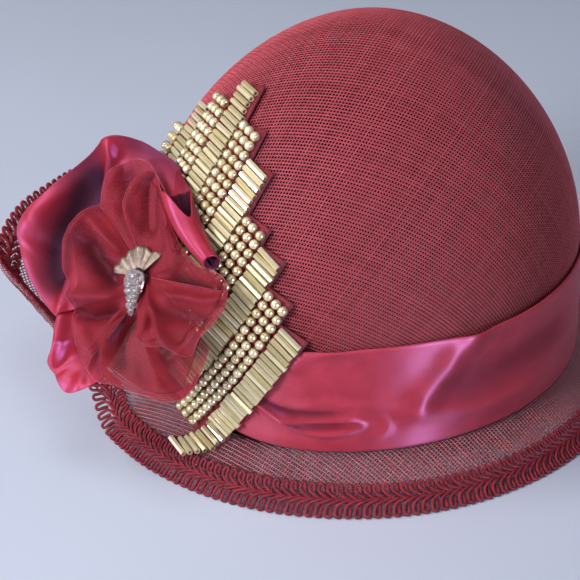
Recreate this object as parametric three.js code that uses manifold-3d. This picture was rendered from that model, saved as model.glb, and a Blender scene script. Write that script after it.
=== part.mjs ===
// Brimmed dress hat: a domed straw-cloth crown on a mesh brim that is turned up on one side,
// with a braided edge, a satin band, a beaded panel and a satin and organza flower with a brooch.
// Millimetres, +Z up. The hat rests on z = 0 and its trimmed front faces -Y.
import * as THREE from 'three';
import { mergeVertices } from 'three/addons/utils/BufferGeometryUtils.js';
import Module from 'manifold-3d';

// Crown: an oval straight side below a dome
const CROWN_LENGTH = 194;
const CROWN_WIDTH = 173;
const CROWN_BASE = 17;
const DOME_START = 64;
const CROWN_TOP = 163.5;
const DOME_POWER = 1.84;
const CROWN_WALL = 1.5;
const SEWN_GAP = 0.4;
const LOOSE_GAP = 0.7;

// Brim and braid
const BRIM_ROOT_DROP = 1.2;
const BRIM_WALL = 1.2;
const BRIM_INSET = 4.8;
const BRAID_WIDTH = 15;
const BRAID_THICKNESS = 2.2;
const BRAID_RESTING_EDGE = 1.6;
const BRAID_SETTLE = 2.2;
const BRAID_SPINE_RISE = 0.8;

// Outer line of the brim and braid: azimuth round the crown (degrees), reach from the crown's
// axis before the oval stretch, lift above the rest plane, and sag of the section below a straight line
const BRIM_EDGE = [
  { azimuth: 0, reach: 116, lift: 0, sag: -1 },
  { azimuth: 45, reach: 116, lift: 0, sag: -1 },
  { azimuth: 90, reach: 115, lift: 0, sag: -1 },
  { azimuth: 118, reach: 116, lift: 0, sag: 0 },
  { azimuth: 132, reach: 118, lift: 6, sag: 3 },
  { azimuth: 147, reach: 121, lift: 20, sag: 8 },
  { azimuth: 162, reach: 125, lift: 38, sag: 14 },
  { azimuth: 176, reach: 129, lift: 55, sag: 19 },
  { azimuth: 190, reach: 133, lift: 70, sag: 22 },
  { azimuth: 203, reach: 138, lift: 79, sag: 23 },
  { azimuth: 213, reach: 144, lift: 80, sag: 23 },
  { azimuth: 220, reach: 154, lift: 74, sag: 23 },
  { azimuth: 226, reach: 157, lift: 62, sag: 21 },
  { azimuth: 231, reach: 143, lift: 49, sag: 17 },
  { azimuth: 236, reach: 129, lift: 34, sag: 12 },
  { azimuth: 240, reach: 122, lift: 21, sag: 8 },
  { azimuth: 244, reach: 118, lift: 11, sag: 4 },
  { azimuth: 248, reach: 116, lift: 4, sag: 1 },
  { azimuth: 252, reach: 114, lift: 0, sag: 0 },
  { azimuth: 260, reach: 112, lift: 0, sag: -1 },
  { azimuth: 280, reach: 110.5, lift: 0, sag: -1 },
  { azimuth: 310, reach: 112, lift: 0, sag: -1 },
  { azimuth: 335, reach: 115, lift: 0, sag: -1 },
];

// Satin band: its lower and upper edge round the crown, gathered towards the beads
const BAND_THICKNESS = 1;
const BAND_EDGES = [
  { azimuth: 0, bottom: 17.2, top: 64 },
  { azimuth: 90, bottom: 17.2, top: 64 },
  { azimuth: 130, bottom: 18.6, top: 64 },
  { azimuth: 180, bottom: 20, top: 64 },
  { azimuth: 230, bottom: 20, top: 62 },
  { azimuth: 260, bottom: 24, top: 56 },
  { azimuth: 280, bottom: 22, top: 58 },
  { azimuth: 292, bottom: 18.6, top: 61 },
  { azimuth: 305, bottom: 17.4, top: 63 },
  { azimuth: 330, bottom: 17.2, top: 64 },
];

// Soft ridges in the band: where each is highest, half its length and width, how far it stands
// out, and how much it climbs for each degree
const BAND_FOLDS = [
  { azimuth: 300, height: 31, run: 10, spread: 5, lift: 2.6, climb: -0.3 },
  { azimuth: 302, height: 22, run: 11, spread: 4, lift: 2.0, climb: -0.1 },
  { azimuth: 303, height: 50, run: 10, spread: 8, lift: 1.5, climb: 0.3 },
  { azimuth: 330, height: 40, run: 20, spread: 12, lift: 1.2, climb: -0.3 },
  { azimuth: 10, height: 32, run: 22, spread: 9, lift: 1.0, climb: 0.2 },
  { azimuth: 75, height: 44, run: 25, spread: 10, lift: 1.2, climb: -0.2 },
  { azimuth: 140, height: 34, run: 24, spread: 9, lift: 1.0, climb: 0.2 },
];

// Beaded panel: stripes run round a tilted pole on the crown. Each row gives the stripe's
// latitude about the pole and the longitudes of its upper and lower ends, in degrees
const PANEL_POLE = { azimuth: 36.5, elevation: -29.4 };
const PANEL_BACKING = 1.2;
const PANEL_FOOT = 20;
const PANEL_GAP = 0.9;
const BUGLE_RISE = 2.2;
const ROUND_RISE = 3.8;
const STRIPE_WIDTH = 11.6;
const STRIPE_OVERLAP = 0.3;
const STRIPE_STEP = 13;
const BEAD_STRIPES = [
  { bead: 'bugle', latitude: -8.7, upper: 1, lower: 45 },
  { bead: 'round', latitude: -15.5, upper: -5, lower: 40 },
  { bead: 'bugle', latitude: -22.3, upper: -12.5, lower: 36 },
  { bead: 'round', latitude: -29.1, upper: -17, lower: 36 },
  { bead: 'bugle', latitude: -35.9, upper: -30, lower: 34 },
  { bead: 'round', latitude: -42.7, upper: -40, lower: 31 },
  { bead: 'bugle', latitude: -49.5, upper: -55, lower: 27 },
  { bead: 'round', latitude: -56.3, upper: -50, lower: 20 },
  { bead: 'bugle', latitude: -63.1, upper: -47, lower: 12 },
  { bead: 'round', latitude: -69.9, upper: -33, lower: 0 },
];

// Flower: its centre beside the crown and the way that it faces
const FLOWER_CENTRE = { x: -12.7, y: -101.9, z: 76.8 };
const FLOWER_FACING = 11.5;
const FLOWER_TILT = 54.5;
const PETAL_WALL = 1;
const PETAL_EYE = 2.2;
const CROWN_CLEARANCE = 6.8;

// Petals: each row is one fold line from the eye to the rim. Turn is its direction in the flower's
// plane (degrees), reach its length, belly, crest and rim its height along the way. Base is the
// height at the eye, so that the petals lie in layers
const BELLY_SHARE = 0.4;
const CREST_SHARE = 0.95;
const PETALS = [
  {
    name: 'satin_petal_lower', cloth: 'satin', base: 0, folds: [
      { turn: 209, reach: 46, belly: 0, crest: 2, rim: 1 },
      { turn: 222, reach: 49, belly: 1, crest: 5, rim: 4 },
      { turn: 229, reach: 53, belly: 1, crest: 8, rim: 4 },
      { turn: 233, reach: 57, belly: 0, crest: 6, rim: 4 },
      { turn: 240, reach: 57, belly: 0, crest: 2, rim: 4 },
      { turn: 248, reach: 58, belly: 0, crest: 3, rim: 4 },
      { turn: 254, reach: 54, belly: 0.5, crest: 5, rim: 5 },
      { turn: 261, reach: 45, belly: 0.5, crest: 4, rim: 5 },
    ],
  },
  {
    name: 'satin_petal_upper', cloth: 'satin', base: 1.5, folds: [
      { turn: 216, reach: 46, belly: 2.5, crest: 6, rim: 5 },
      { turn: 202, reach: 55, belly: 3, crest: 8, rim: 5 },
      { turn: 187, reach: 65, belly: 4, crest: 10, rim: 5 },
      { turn: 180, reach: 70, belly: 4, crest: 12, rim: 6 },
      { turn: 173, reach: 69, belly: 3, crest: 11, rim: 7 },
      { turn: 163, reach: 62, belly: 2, crest: 5, rim: 8 },
      { turn: 150, reach: 58, belly: 2, crest: 3, rim: 9 },
      { turn: 139, reach: 57, belly: 2, crest: 4, rim: 11 },
      { turn: 131, reach: 58, belly: 3, crest: 7, rim: 13 },
      { turn: 124, reach: 57, belly: 3, crest: 7, rim: 14 },
      { turn: 115, reach: 54, belly: 3, crest: 6, rim: 12 },
      { turn: 106, reach: 49, belly: 4, crest: 8, rim: 11 },
      { turn: 96, reach: 45, belly: 5, crest: 9, rim: 11 },
    ],
  },
  {
    name: 'organza_petal_low', cloth: 'organza', base: 1.5, folds: [
      { turn: 245, reach: 42, belly: 2.5, crest: 5, rim: 6 },
      { turn: 263, reach: 45, belly: 3, crest: 8, rim: 9 },
      { turn: 276, reach: 44, belly: 3, crest: 10, rim: 9 },
      { turn: 293, reach: 47, belly: 2, crest: 6, rim: 8 },
      { turn: 303, reach: 51, belly: 3, crest: 9, rim: 9 },
      { turn: 315, reach: 53, belly: 4, crest: 9, rim: 10 },
      { turn: 325, reach: 47, belly: 3, crest: 7, rim: 8 },
      { turn: 335, reach: 42, belly: 3, crest: 6, rim: 7 },
    ],
  },
  {
    name: 'organza_petal_left', cloth: 'organza', base: 3, folds: [
      { turn: 255, reach: 43, belly: 5, crest: 10, rim: 10 },
      { turn: 243, reach: 40, belly: 6, crest: 10, rim: 10 },
      { turn: 230, reach: 37, belly: 6, crest: 10, rim: 10 },
      { turn: 216, reach: 34, belly: 6, crest: 11, rim: 11 },
      { turn: 202, reach: 35, belly: 6, crest: 11, rim: 10 },
      { turn: 188, reach: 38, belly: 8, crest: 13, rim: 11 },
      { turn: 177, reach: 41, belly: 7, crest: 14, rim: 12 },
      { turn: 166, reach: 42, belly: 6, crest: 13, rim: 12 },
      { turn: 152, reach: 39, belly: 6, crest: 12, rim: 12 },
    ],
  },
  {
    name: 'organza_petal_back', cloth: 'organza', base: 3, folds: [
      { turn: 146, reach: 36, belly: 6, crest: 10, rim: 11 },
      { turn: 135, reach: 45, belly: 6, crest: 11, rim: 12 },
      { turn: 127, reach: 47, belly: 7, crest: 12, rim: 13 },
      { turn: 118, reach: 47, belly: 7, crest: 12, rim: 13 },
      { turn: 109, reach: 45, belly: 7, crest: 12, rim: 13 },
      { turn: 101, reach: 39, belly: 7, crest: 12, rim: 13 },
      { turn: 94, reach: 34, belly: 7, crest: 11, rim: 12 },
    ],
  },
  {
    name: 'organza_petal_side', cloth: 'organza', base: 4.5, folds: [
      { turn: 126, reach: 29, belly: 10, crest: 15, rim: 15 },
      { turn: 121, reach: 34, belly: 10, crest: 15, rim: 15 },
      { turn: 113, reach: 38, belly: 10, crest: 15, rim: 15.5 },
      { turn: 105, reach: 41, belly: 10, crest: 15, rim: 15 },
      { turn: 97, reach: 35, belly: 10, crest: 15, rim: 15 },
      { turn: 83, reach: 27, belly: 10, crest: 14, rim: 14 },
      { turn: 63, reach: 22, belly: 10, crest: 14, rim: 14 },
      { turn: 40, reach: 22, belly: 10, crest: 14, rim: 14 },
      { turn: 24, reach: 27, belly: 10, crest: 14, rim: 14 },
      { turn: 14, reach: 39, belly: 10, crest: 14, rim: 15 },
    ],
  },
  {
    name: 'organza_petal_front', cloth: 'organza', base: 3, folds: [
      { turn: 6, reach: 44, belly: 10, crest: 17, rim: 17 },
      { turn: 2, reach: 45, belly: 10, crest: 17, rim: 17 },
      { turn: -8, reach: 43, belly: 11, crest: 16, rim: 16 },
      { turn: -21, reach: 40, belly: 13, crest: 15, rim: 15 },
      { turn: -33, reach: 42, belly: 15, crest: 15, rim: 14 },
      { turn: -41, reach: 34, belly: 17, crest: 18, rim: 16 },
      { turn: -48, reach: 27, belly: 12, crest: 15, rim: 14 },
    ],
  },
];

// Rolled satin edge: a tapering open roll in the flower's plane
const ROLL_START = { x: 7, y: 33 };
const ROLL_END = { x: 30, y: 15.5 };
const ROLL_HEIGHT = 15.5;
const ROLL_START_RADIUS = 5;
const ROLL_END_RADIUS = 3.4;
const ROLL_OPENING = 50;

// Brooch: a pleated fan over a leaf of stones, on a pin through the flower's eye
const BROOCH_HEIGHT = 11.4;
const FAN_ROOT = { x: -1.5, y: -1 };
const FAN_AIM = 126;
const FAN_SPREAD = 124;
const FAN_INNER = 3;
const FAN_RADIUS = 13;
const FAN_PLEATS = 5;
const FAN_PLEAT_RISE = 0.9;
const FAN_WALL = 1;
const LEAF_START = { x: -4.5, y: 0.5 };
const LEAF_END = { x: 2.5, y: -16 };
const LEAF_WIDTH = 7;
const LEAF_SHOULDER = 0.4;
const LEAF_SHOULDER_WIDTH = 3.8;
const LEAF_THICKNESS = 1.4;
const LEAF_CURVE_STEPS = 4;
const STONE_SIDES = 8;
const STONE_RADIUS = 1.5;
const STONE_TABLE_RADIUS = 0.9;
const STONE_RISE = 1.3;
const STONE_SEAT = 0.8;
const STONE_PAIRS = 4;
const STONE_ROWS = 6;
const STONE_FIRST = 0.08;
const STONE_SPREAD = 2.2;
const STONE_TAPER = 0.83;
const PIN_RADIUS = 1.2;
const PIN_SIDES = 10;

// How finely the round forms are cut
const RING_STEPS = 48;
const BRIM_RING_STEPS = 72;
const BAND_RING_STEPS = 60;
const DOME_STEPS = 8;
const SIDE_STEPS = 2;
const BRIM_STEPS = 5;
const BAND_STEPS = 4;
const FOLD_STEPS = 2;
const PETAL_STEPS = 5;
const RIB_STEPS = 6;

const CRIMSON_STRAW = { color: 0x9d3f4b, roughness: 0.85, metalness: 0 };
const SATIN = { color: 0xb43850, roughness: 0.35, metalness: 0 };
const ORGANZA = { color: 0xa8323f, roughness: 0.5, metalness: 0 };
const BRAID = { color: 0x7c2733, roughness: 0.7, metalness: 0 };
const GILT_GLASS = { color: 0xc8be8c, roughness: 0.25, metalness: 0.8 };
const PALE_GOLD = { color: 0xbea582, roughness: 0.35, metalness: 0.9 };

const MEAN_RADIUS = (CROWN_LENGTH + CROWN_WIDTH) / 4;
const OVAL_X = CROWN_WIDTH / 2 / MEAN_RADIUS;
const OVAL_Y = CROWN_LENGTH / 2 / MEAN_RADIUS;
const DOME_RISE = CROWN_TOP - DOME_START;
const FULL_TURN = 360;
const HALF_TURN = 180;
const WELD_DISTANCE = 0.001;
const radians = THREE.MathUtils.degToRad;
const lerp = THREE.MathUtils.lerp;

// Cubic blend of one column through four neighbouring rows.
function blendColumn(rows, column, part) {
  const [before, from, to, after] = rows.map((row) => row[column]);
  const slopeFrom = (to - before) / 2;
  const slopeTo = (after - from) / 2;
  const square = part * part;
  const cube = square * part;
  return (2 * cube - 3 * square + 1) * from + (cube - 2 * square + part) * slopeFrom
    + (3 * square - 2 * cube) * to + (cube - square) * slopeTo;
}

// A row between two rows of an open table, at a position counted in rows.
function rowAt(table, position) {
  const last = table.length - 1;
  const start = Math.min(Math.floor(position), last - 1);
  const pick = (index) => table[Math.min(Math.max(index, 0), last)];
  const rows = [pick(start - 1), pick(start), pick(start + 1), pick(start + 2)];
  const row = {};
  for (const column of Object.keys(table[0])) row[column] = blendColumn(rows, column, position - start);
  return row;
}

// A row of a table that goes all the way round, at an azimuth in degrees.
function rowRound(table, azimuth) {
  const angle = ((azimuth % FULL_TURN) + FULL_TURN) % FULL_TURN;
  const count = table.length;
  let start = count - 1;
  while (start > 0 && table[start].azimuth > angle) start -= 1;
  const pick = (index) => {
    const turns = Math.floor(index / count);
    const row = table[index - turns * count];
    return { ...row, azimuth: row.azimuth + turns * FULL_TURN };
  };
  const rows = [pick(start - 1), pick(start), pick(start + 1), pick(start + 2)];
  const part = (angle - rows[1].azimuth) / (rows[2].azimuth - rows[1].azimuth);
  const row = {};
  for (const column of Object.keys(table[0])) row[column] = blendColumn(rows, column, part);
  return row;
}

// Point at an azimuth, mean radius and height on the hat's oval.
function ovalPoint(azimuth, radius, height) {
  const angle = radians(azimuth);
  return new THREE.Vector3(radius * OVAL_X * Math.cos(angle), radius * OVAL_Y * Math.sin(angle), height);
}

// Mean radius of the crown's outer face at a height.
function crownRadius(height) {
  const rise = Math.min(Math.max((height - DOME_START) / DOME_RISE, 0), 1);
  return MEAN_RADIUS * Math.pow(1 - Math.pow(rise, DOME_POWER), 1 / DOME_POWER);
}

// Point on the crown's outer face, moved out along the face's own normal.
function crownPoint(azimuth, height, offset) {
  const point = ovalPoint(azimuth, crownRadius(height), height);
  const rise = Math.max((height - DOME_START) / DOME_RISE, 0);
  const spread = crownRadius(height) / MEAN_RADIUS;
  const outward = Math.pow(spread, DOME_POWER - 1) / MEAN_RADIUS;
  const upward = Math.pow(rise, DOME_POWER - 1) / DOME_RISE;
  const angle = radians(azimuth);
  const normal = new THREE.Vector3(
    outward * Math.cos(angle) / OVAL_X, outward * Math.sin(angle) / OVAL_Y, upward);
  return point.addScaledVector(normal.normalize(), offset);
}

// How far a point lies outside the crown's outer face, measured level.
function crownStandOff(point) {
  return Math.hypot(point.x / OVAL_X, point.y / OVAL_Y) - crownRadius(point.z);
}

// Keep only triangles with three different corners, and turn a body that is inside out.
function closedGeometry(points, triangles) {
  const geometry = new THREE.BufferGeometry();
  const coordinates = points.flatMap((point) => [point.x, point.y, point.z]);
  geometry.setAttribute('position', new THREE.Float32BufferAttribute(coordinates, 3));
  geometry.setIndex(triangles);
  const merged = mergeVertices(geometry, WELD_DISTANCE);
  const position = merged.getAttribute('position');
  const corner = (index) => new THREE.Vector3().fromBufferAttribute(position, index);
  const kept = [];
  let volume = 0;
  for (let i = 0; i < merged.index.count; i += 3) {
    const [a, b, c] = [0, 1, 2].map((step) => merged.index.getX(i + step));
    if (a === b || b === c || c === a) continue;
    kept.push([a, b, c]);
    volume += corner(a).dot(corner(b).cross(corner(c)));
  }
  merged.setIndex(kept.flatMap(([a, b, c]) => (volume > 0 ? [a, b, c] : [a, c, b])));
  return merged;
}

// A closed wall between a front and a back grid of points. A ring wraps its last column to its first.
function wallBetween(front, back, isRing) {
  const rows = front.length;
  const columns = front[0].length;
  const triangles = [];
  const at = (side, row, column) => (side * rows + row) * columns + (column % columns);
  const quad = (a, b, c, d) => triangles.push(a, b, c, a, c, d);
  const lastRow = rows - 1;
  const lastColumn = columns - 1;
  const spans = isRing ? columns : lastColumn;
  for (let column = 0; column < spans; column += 1) {
    const next = column + 1;
    for (let row = 0; row < lastRow; row += 1) {
      quad(at(0, row, column), at(0, row, next), at(0, row + 1, next), at(0, row + 1, column));
      quad(at(1, row, column), at(1, row + 1, column), at(1, row + 1, next), at(1, row, next));
    }
    quad(at(0, 0, next), at(0, 0, column), at(1, 0, column), at(1, 0, next));
    quad(at(0, lastRow, column), at(0, lastRow, next), at(1, lastRow, next), at(1, lastRow, column));
  }
  for (let row = 0; row < lastRow && !isRing; row += 1) {
    quad(at(0, row, 0), at(0, row + 1, 0), at(1, row + 1, 0), at(1, row, 0));
    quad(
      at(0, row + 1, lastColumn), at(0, row, lastColumn),
      at(1, row, lastColumn), at(1, row + 1, lastColumn));
  }
  return closedGeometry([...front.flat(), ...back.flat()], triangles);
}

// A grid of points made by a function of two parts from 0 to 1.
function gridOf(rowSteps, columnSteps, isRing, pointAt) {
  const columns = isRing ? columnSteps : columnSteps + 1;
  return Array.from({ length: rowSteps + 1 }, (_, row) => (
    Array.from({ length: columns }, (__, column) => pointAt(row / rowSteps, column / columnSteps))));
}

// Thicken a grid along its own normals, half to each side.
function wallAround(middle, thickness) {
  const lastRow = middle.length - 1;
  const lastColumn = middle[0].length - 1;
  const shifted = (distance) => middle.map((line, row) => line.map((point, column) => {
    const along = middle[Math.min(row + 1, lastRow)][column].clone()
      .sub(middle[Math.max(row - 1, 0)][column]);
    const across = line[Math.min(column + 1, lastColumn)].clone().sub(line[Math.max(column - 1, 0)]);
    return point.clone().addScaledVector(across.cross(along).normalize(), distance);
  }));
  return wallBetween(shifted(thickness / 2), shifted(-thickness / 2), false);
}

function meshOf(name, geometry, finish) {
  const mesh = new THREE.Mesh(geometry, new THREE.MeshStandardMaterial(finish));
  mesh.name = name;
  return mesh;
}

const wasm = await Module();
wasm.setup();

function solidOf(geometry) {
  return new wasm.Manifold(new wasm.Mesh({
    numProp: 3,
    vertProperties: new Float32Array(geometry.getAttribute('position').array),
    triVerts: new Uint32Array(geometry.index.array),
  }));
}

// Join closed geometries into one body.
function joined(geometries) {
  const [first, ...others] = geometries.map(solidOf);
  const mesh = others.reduce((body, other) => body.add(other), first).getMesh();
  const geometry = new THREE.BufferGeometry();
  geometry.setAttribute('position', new THREE.BufferAttribute(new Float32Array(mesh.vertProperties), 3));
  geometry.setIndex(new THREE.BufferAttribute(new Uint32Array(mesh.triVerts), 1));
  return geometry;
}

// Hollow dome, open below.
function crown() {
  const steps = SIDE_STEPS + DOME_STEPS;
  const heightAt = (row) => {
    const step = row * steps;
    if (step <= SIDE_STEPS) return lerp(CROWN_BASE, DOME_START, step / SIDE_STEPS);
    return DOME_START + DOME_RISE * Math.sin((step - SIDE_STEPS) / DOME_STEPS * Math.PI / 2);
  };
  const face = (offset) => gridOf(steps, RING_STEPS, true, (row, column) => (
    crownPoint(column * FULL_TURN, heightAt(row), offset)));
  return meshOf('crown', wallBetween(face(0), face(-CROWN_WALL), true), CRIMSON_STRAW);
}

// Section of the brim at an azimuth, as a curve of mean radius (x) and height (y).
function brimSection(azimuth) {
  const edge = rowRound(BRIM_EDGE, azimuth);
  const root = new THREE.Vector2(MEAN_RADIUS, CROWN_BASE - BRIM_ROOT_DROP);
  const rim = new THREE.Vector2(edge.reach, Math.max(edge.lift, 0) - BRAID_SETTLE);
  const middle = root.clone().add(rim).divideScalar(2);
  middle.y -= edge.sag;
  return new THREE.QuadraticBezierCurve(root, middle, rim);
}

// Point at a distance in from the brim's outer line, moved off the brim's middle face.
function brimPoint(azimuth, fromEdge, offset) {
  const section = brimSection(azimuth);
  const part = Math.max(1 - fromEdge / section.getLength(), 0);
  const place = section.getPointAt(part);
  const tangent = section.getTangentAt(part);
  return ovalPoint(azimuth, place.x - tangent.y * offset, place.y + tangent.x * offset);
}

function brim() {
  const underBraid = [BRAID_WIDTH, BRAID_WIDTH / 2, BRIM_INSET];
  const openSteps = BRIM_STEPS - underBraid.length + 1;
  const face = (offset) => gridOf(BRIM_STEPS, BRIM_RING_STEPS, true, (row, column) => {
    const azimuth = column * FULL_TURN;
    const step = Math.round(row * BRIM_STEPS);
    const fromEdge = step < openSteps
      ? lerp(brimSection(azimuth).getLength(), BRAID_WIDTH, step / openSteps)
      : underBraid[step - openSteps];
    return brimPoint(azimuth, fromEdge, offset);
  });
  return meshOf('brim', wallBetween(face(BRIM_WALL / 2), face(-BRIM_WALL / 2), true), CRIMSON_STRAW);
}

// Braid on the brim's upper face, pressed flat where it rests on the ground.
function edgeBraid() {
  const underside = BRIM_WALL / 2 + LOOSE_GAP;
  const topside = underside + BRAID_THICKNESS;
  const section = [
    { fromEdge: BRAID_WIDTH, under: underside, over: topside },
    { fromEdge: BRAID_WIDTH / 2, under: underside, over: topside + BRAID_SPINE_RISE },
    { fromEdge: BRIM_INSET, under: underside, over: topside },
    { fromEdge: BRAID_RESTING_EDGE, under: underside, over: topside },
    { fromEdge: 0, under: underside, over: topside },
  ];
  const face = (side) => gridOf(section.length - 1, BRIM_RING_STEPS, true, (row, column) => {
    const corner = section[Math.round(row * (section.length - 1))];
    const point = brimPoint(column * FULL_TURN, corner.fromEdge, corner[side]);
    point.z = Math.max(point.z, 0);
    return point;
  });
  return meshOf('edge_braid', wallBetween(face('over'), face('under'), true), BRAID);
}

// How far the band's folds stand out at an azimuth and height.
function foldLift(azimuth, height) {
  return BAND_FOLDS.reduce((sum, fold) => {
    const turned = THREE.MathUtils.euclideanModulo(azimuth - fold.azimuth + HALF_TURN, FULL_TURN);
    const away = turned - HALF_TURN;
    const along = away / fold.run;
    const across = (height - fold.height - fold.climb * away) / fold.spread;
    return sum + fold.lift * Math.exp(-along * along - across * across);
  }, 0);
}

function hatBand() {
  const face = (offset) => gridOf(BAND_STEPS, BAND_RING_STEPS, true, (row, column) => {
    const azimuth = column * FULL_TURN;
    const edge = rowRound(BAND_EDGES, azimuth);
    const height = lerp(edge.bottom, edge.top, row);
    return crownPoint(azimuth, height, offset + foldLift(azimuth, height));
  });
  return meshOf('hat_band', wallBetween(face(SEWN_GAP + BAND_THICKNESS), face(SEWN_GAP), true), SATIN);
}

// Direction of a latitude and longitude about the panel's pole.
function panelDirection(latitude, longitude) {
  const turn = radians(PANEL_POLE.azimuth);
  const lift = radians(PANEL_POLE.elevation);
  const pole = new THREE.Vector3(
    Math.cos(turn) * Math.cos(lift), Math.sin(turn) * Math.cos(lift), Math.sin(lift));
  const level = new THREE.Vector3(0, 0, 1).cross(pole).normalize().negate();
  const down = pole.clone().cross(level);
  const north = radians(latitude);
  const east = radians(longitude);
  return pole.multiplyScalar(Math.sin(north))
    .addScaledVector(level, Math.cos(north) * Math.cos(east))
    .addScaledVector(down, Math.cos(north) * Math.sin(east));
}

// Point on the panel's seat: the crown above, the band below and the brim's slope at the foot.
function panelPoint(latitude, longitude, offset) {
  const way = panelDirection(latitude, longitude);
  const level = Math.hypot(way.x / OVAL_X, way.y / OVAL_Y);
  const azimuth = THREE.MathUtils.radToDeg(Math.atan2(way.y / OVAL_Y, way.x / OVAL_X));
  const levelPart = Math.pow(level / MEAN_RADIUS, DOME_POWER);
  const risePart = Math.pow(Math.max(way.z, 0) / DOME_RISE, DOME_POWER);
  const reach = Math.pow(levelPart + risePart, -1 / DOME_POWER);
  const height = DOME_START + reach * way.z;
  const halfStripe = STRIPE_WIDTH / 2;
  const overBand = THREE.MathUtils.smoothstep(DOME_START + halfStripe - height, 0, halfStripe);
  if (height < PANEL_FOOT) {
    const length = brimSection(azimuth).getLength();
    const room = length - BRAID_WIDTH - PANEL_GAP;
    const down = room * Math.tanh((PANEL_FOOT - height) / room);
    return brimPoint(azimuth, length - down, BRIM_WALL / 2 + PANEL_GAP + offset);
  }
  const fold = foldLift(azimuth, height) + BAND_THICKNESS + SEWN_GAP;
  return crownPoint(azimuth, height, PANEL_GAP + overBand * fold + offset);
}

// Beaded panel: one fused body, with a flat rib for bugles and three ribs for round beads.
function beadPanel() {
  const degreesPerMillimetre = THREE.MathUtils.radToDeg(1 / MEAN_RADIUS);
  const stripes = BEAD_STRIPES.map((stripe) => {
    const half = (STRIPE_WIDTH + STRIPE_OVERLAP) / 2 * degreesPerMillimetre;
    const turned = (stripe.lower - stripe.upper) * Math.cos(radians(stripe.latitude));
    const isBugle = stripe.bead === 'bugle';
    const along = Math.round(turned / degreesPerMillimetre / STRIPE_STEP);
    const across = isBugle ? 1 : RIB_STEPS;
    const riseAt = (row) => {
      if (isBugle) return BUGLE_RISE;
      return Math.round(row * across) % 2 ? ROUND_RISE : ROUND_RISE / 2;
    };
    const face = (isTop) => gridOf(across, along, false, (row, column) => panelPoint(
      stripe.latitude + lerp(-half, half, row),
      lerp(stripe.upper, stripe.lower, column),
      isTop ? PANEL_BACKING + riseAt(row) : 0));
    return wallBetween(face(true), face(false), false);
  });
  return meshOf('bead_panel', joined(stripes), GILT_GLASS);
}

const flower = new THREE.Group();
flower.position.set(FLOWER_CENTRE.x, FLOWER_CENTRE.y, FLOWER_CENTRE.z);
flower.rotation.set(radians(FLOWER_TILT), 0, radians(FLOWER_FACING), 'ZYX');
flower.updateMatrix();

// Raise a point of the flower until it stands clear of the beads on the crown.
function clearOfCrown(point) {
  const place = point.clone().applyMatrix4(flower.matrix);
  point.z += Math.max(CROWN_CLEARANCE - crownStandOff(place), 0);
  return point;
}

// Petal: fold lines spread round the eye, each a curve that rises from its base to its rim.
function petal({ name, cloth, base, folds }) {
  const columns = (folds.length - 1) * FOLD_STEPS;
  const middle = gridOf(PETAL_STEPS, columns, false, (row, column) => {
    const fold = rowAt(folds, column * (folds.length - 1));
    const line = new THREE.CubicBezierCurve(
      new THREE.Vector2(PETAL_EYE, base),
      new THREE.Vector2(fold.reach * BELLY_SHARE, fold.belly),
      new THREE.Vector2(fold.reach * CREST_SHARE, fold.crest),
      new THREE.Vector2(fold.reach, fold.rim));
    const place = line.getPoint(row);
    const turn = radians(fold.turn);
    return clearOfCrown(new THREE.Vector3(place.x * Math.cos(turn), place.x * Math.sin(turn), place.y));
  });
  return meshOf(name, wallAround(middle, PETAL_WALL), cloth === 'satin' ? SATIN : ORGANZA);
}

// Satin edge rolled into a tapering tube that stays open along one side.
function satinRoll() {
  const start = new THREE.Vector3(ROLL_START.x, ROLL_START.y, ROLL_HEIGHT);
  const end = new THREE.Vector3(ROLL_END.x, ROLL_END.y, ROLL_HEIGHT);
  const side = end.clone().sub(start).cross(new THREE.Vector3(0, 0, 1)).normalize();
  const middle = gridOf(PETAL_STEPS, 2 * PETAL_STEPS, false, (row, column) => {
    const angle = radians(lerp(ROLL_OPENING, FULL_TURN - ROLL_OPENING, column));
    const radius = lerp(ROLL_START_RADIUS, ROLL_END_RADIUS, row);
    const point = start.clone().lerp(end, row).addScaledVector(side, radius * Math.sin(angle));
    point.z -= radius * Math.cos(angle);
    return point;
  });
  return meshOf('satin_roll', wallAround(middle, PETAL_WALL), SATIN);
}

// Pleated fan plate of the brooch.
function fanPlate() {
  const columns = 2 * FAN_PLEATS;
  const middle = gridOf(2, columns, false, (row, column) => {
    const turn = radians(FAN_AIM + lerp(-FAN_SPREAD, FAN_SPREAD, column) / 2);
    const radius = lerp(FAN_INNER, FAN_RADIUS, row);
    const pleat = Math.round(column * columns) % 2 ? FAN_PLEAT_RISE : 0;
    const height = BROOCH_HEIGHT + pleat * row;
    return new THREE.Vector3(
      FAN_ROOT.x + radius * Math.cos(turn), FAN_ROOT.y + radius * Math.sin(turn), height);
  });
  return wallAround(middle, FAN_WALL);
}

function placed(geometry, x, y, z) {
  const bare = geometry.clone().translate(x, y, z);
  bare.deleteAttribute('normal');
  bare.deleteAttribute('uv');
  return mergeVertices(bare);
}

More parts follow.
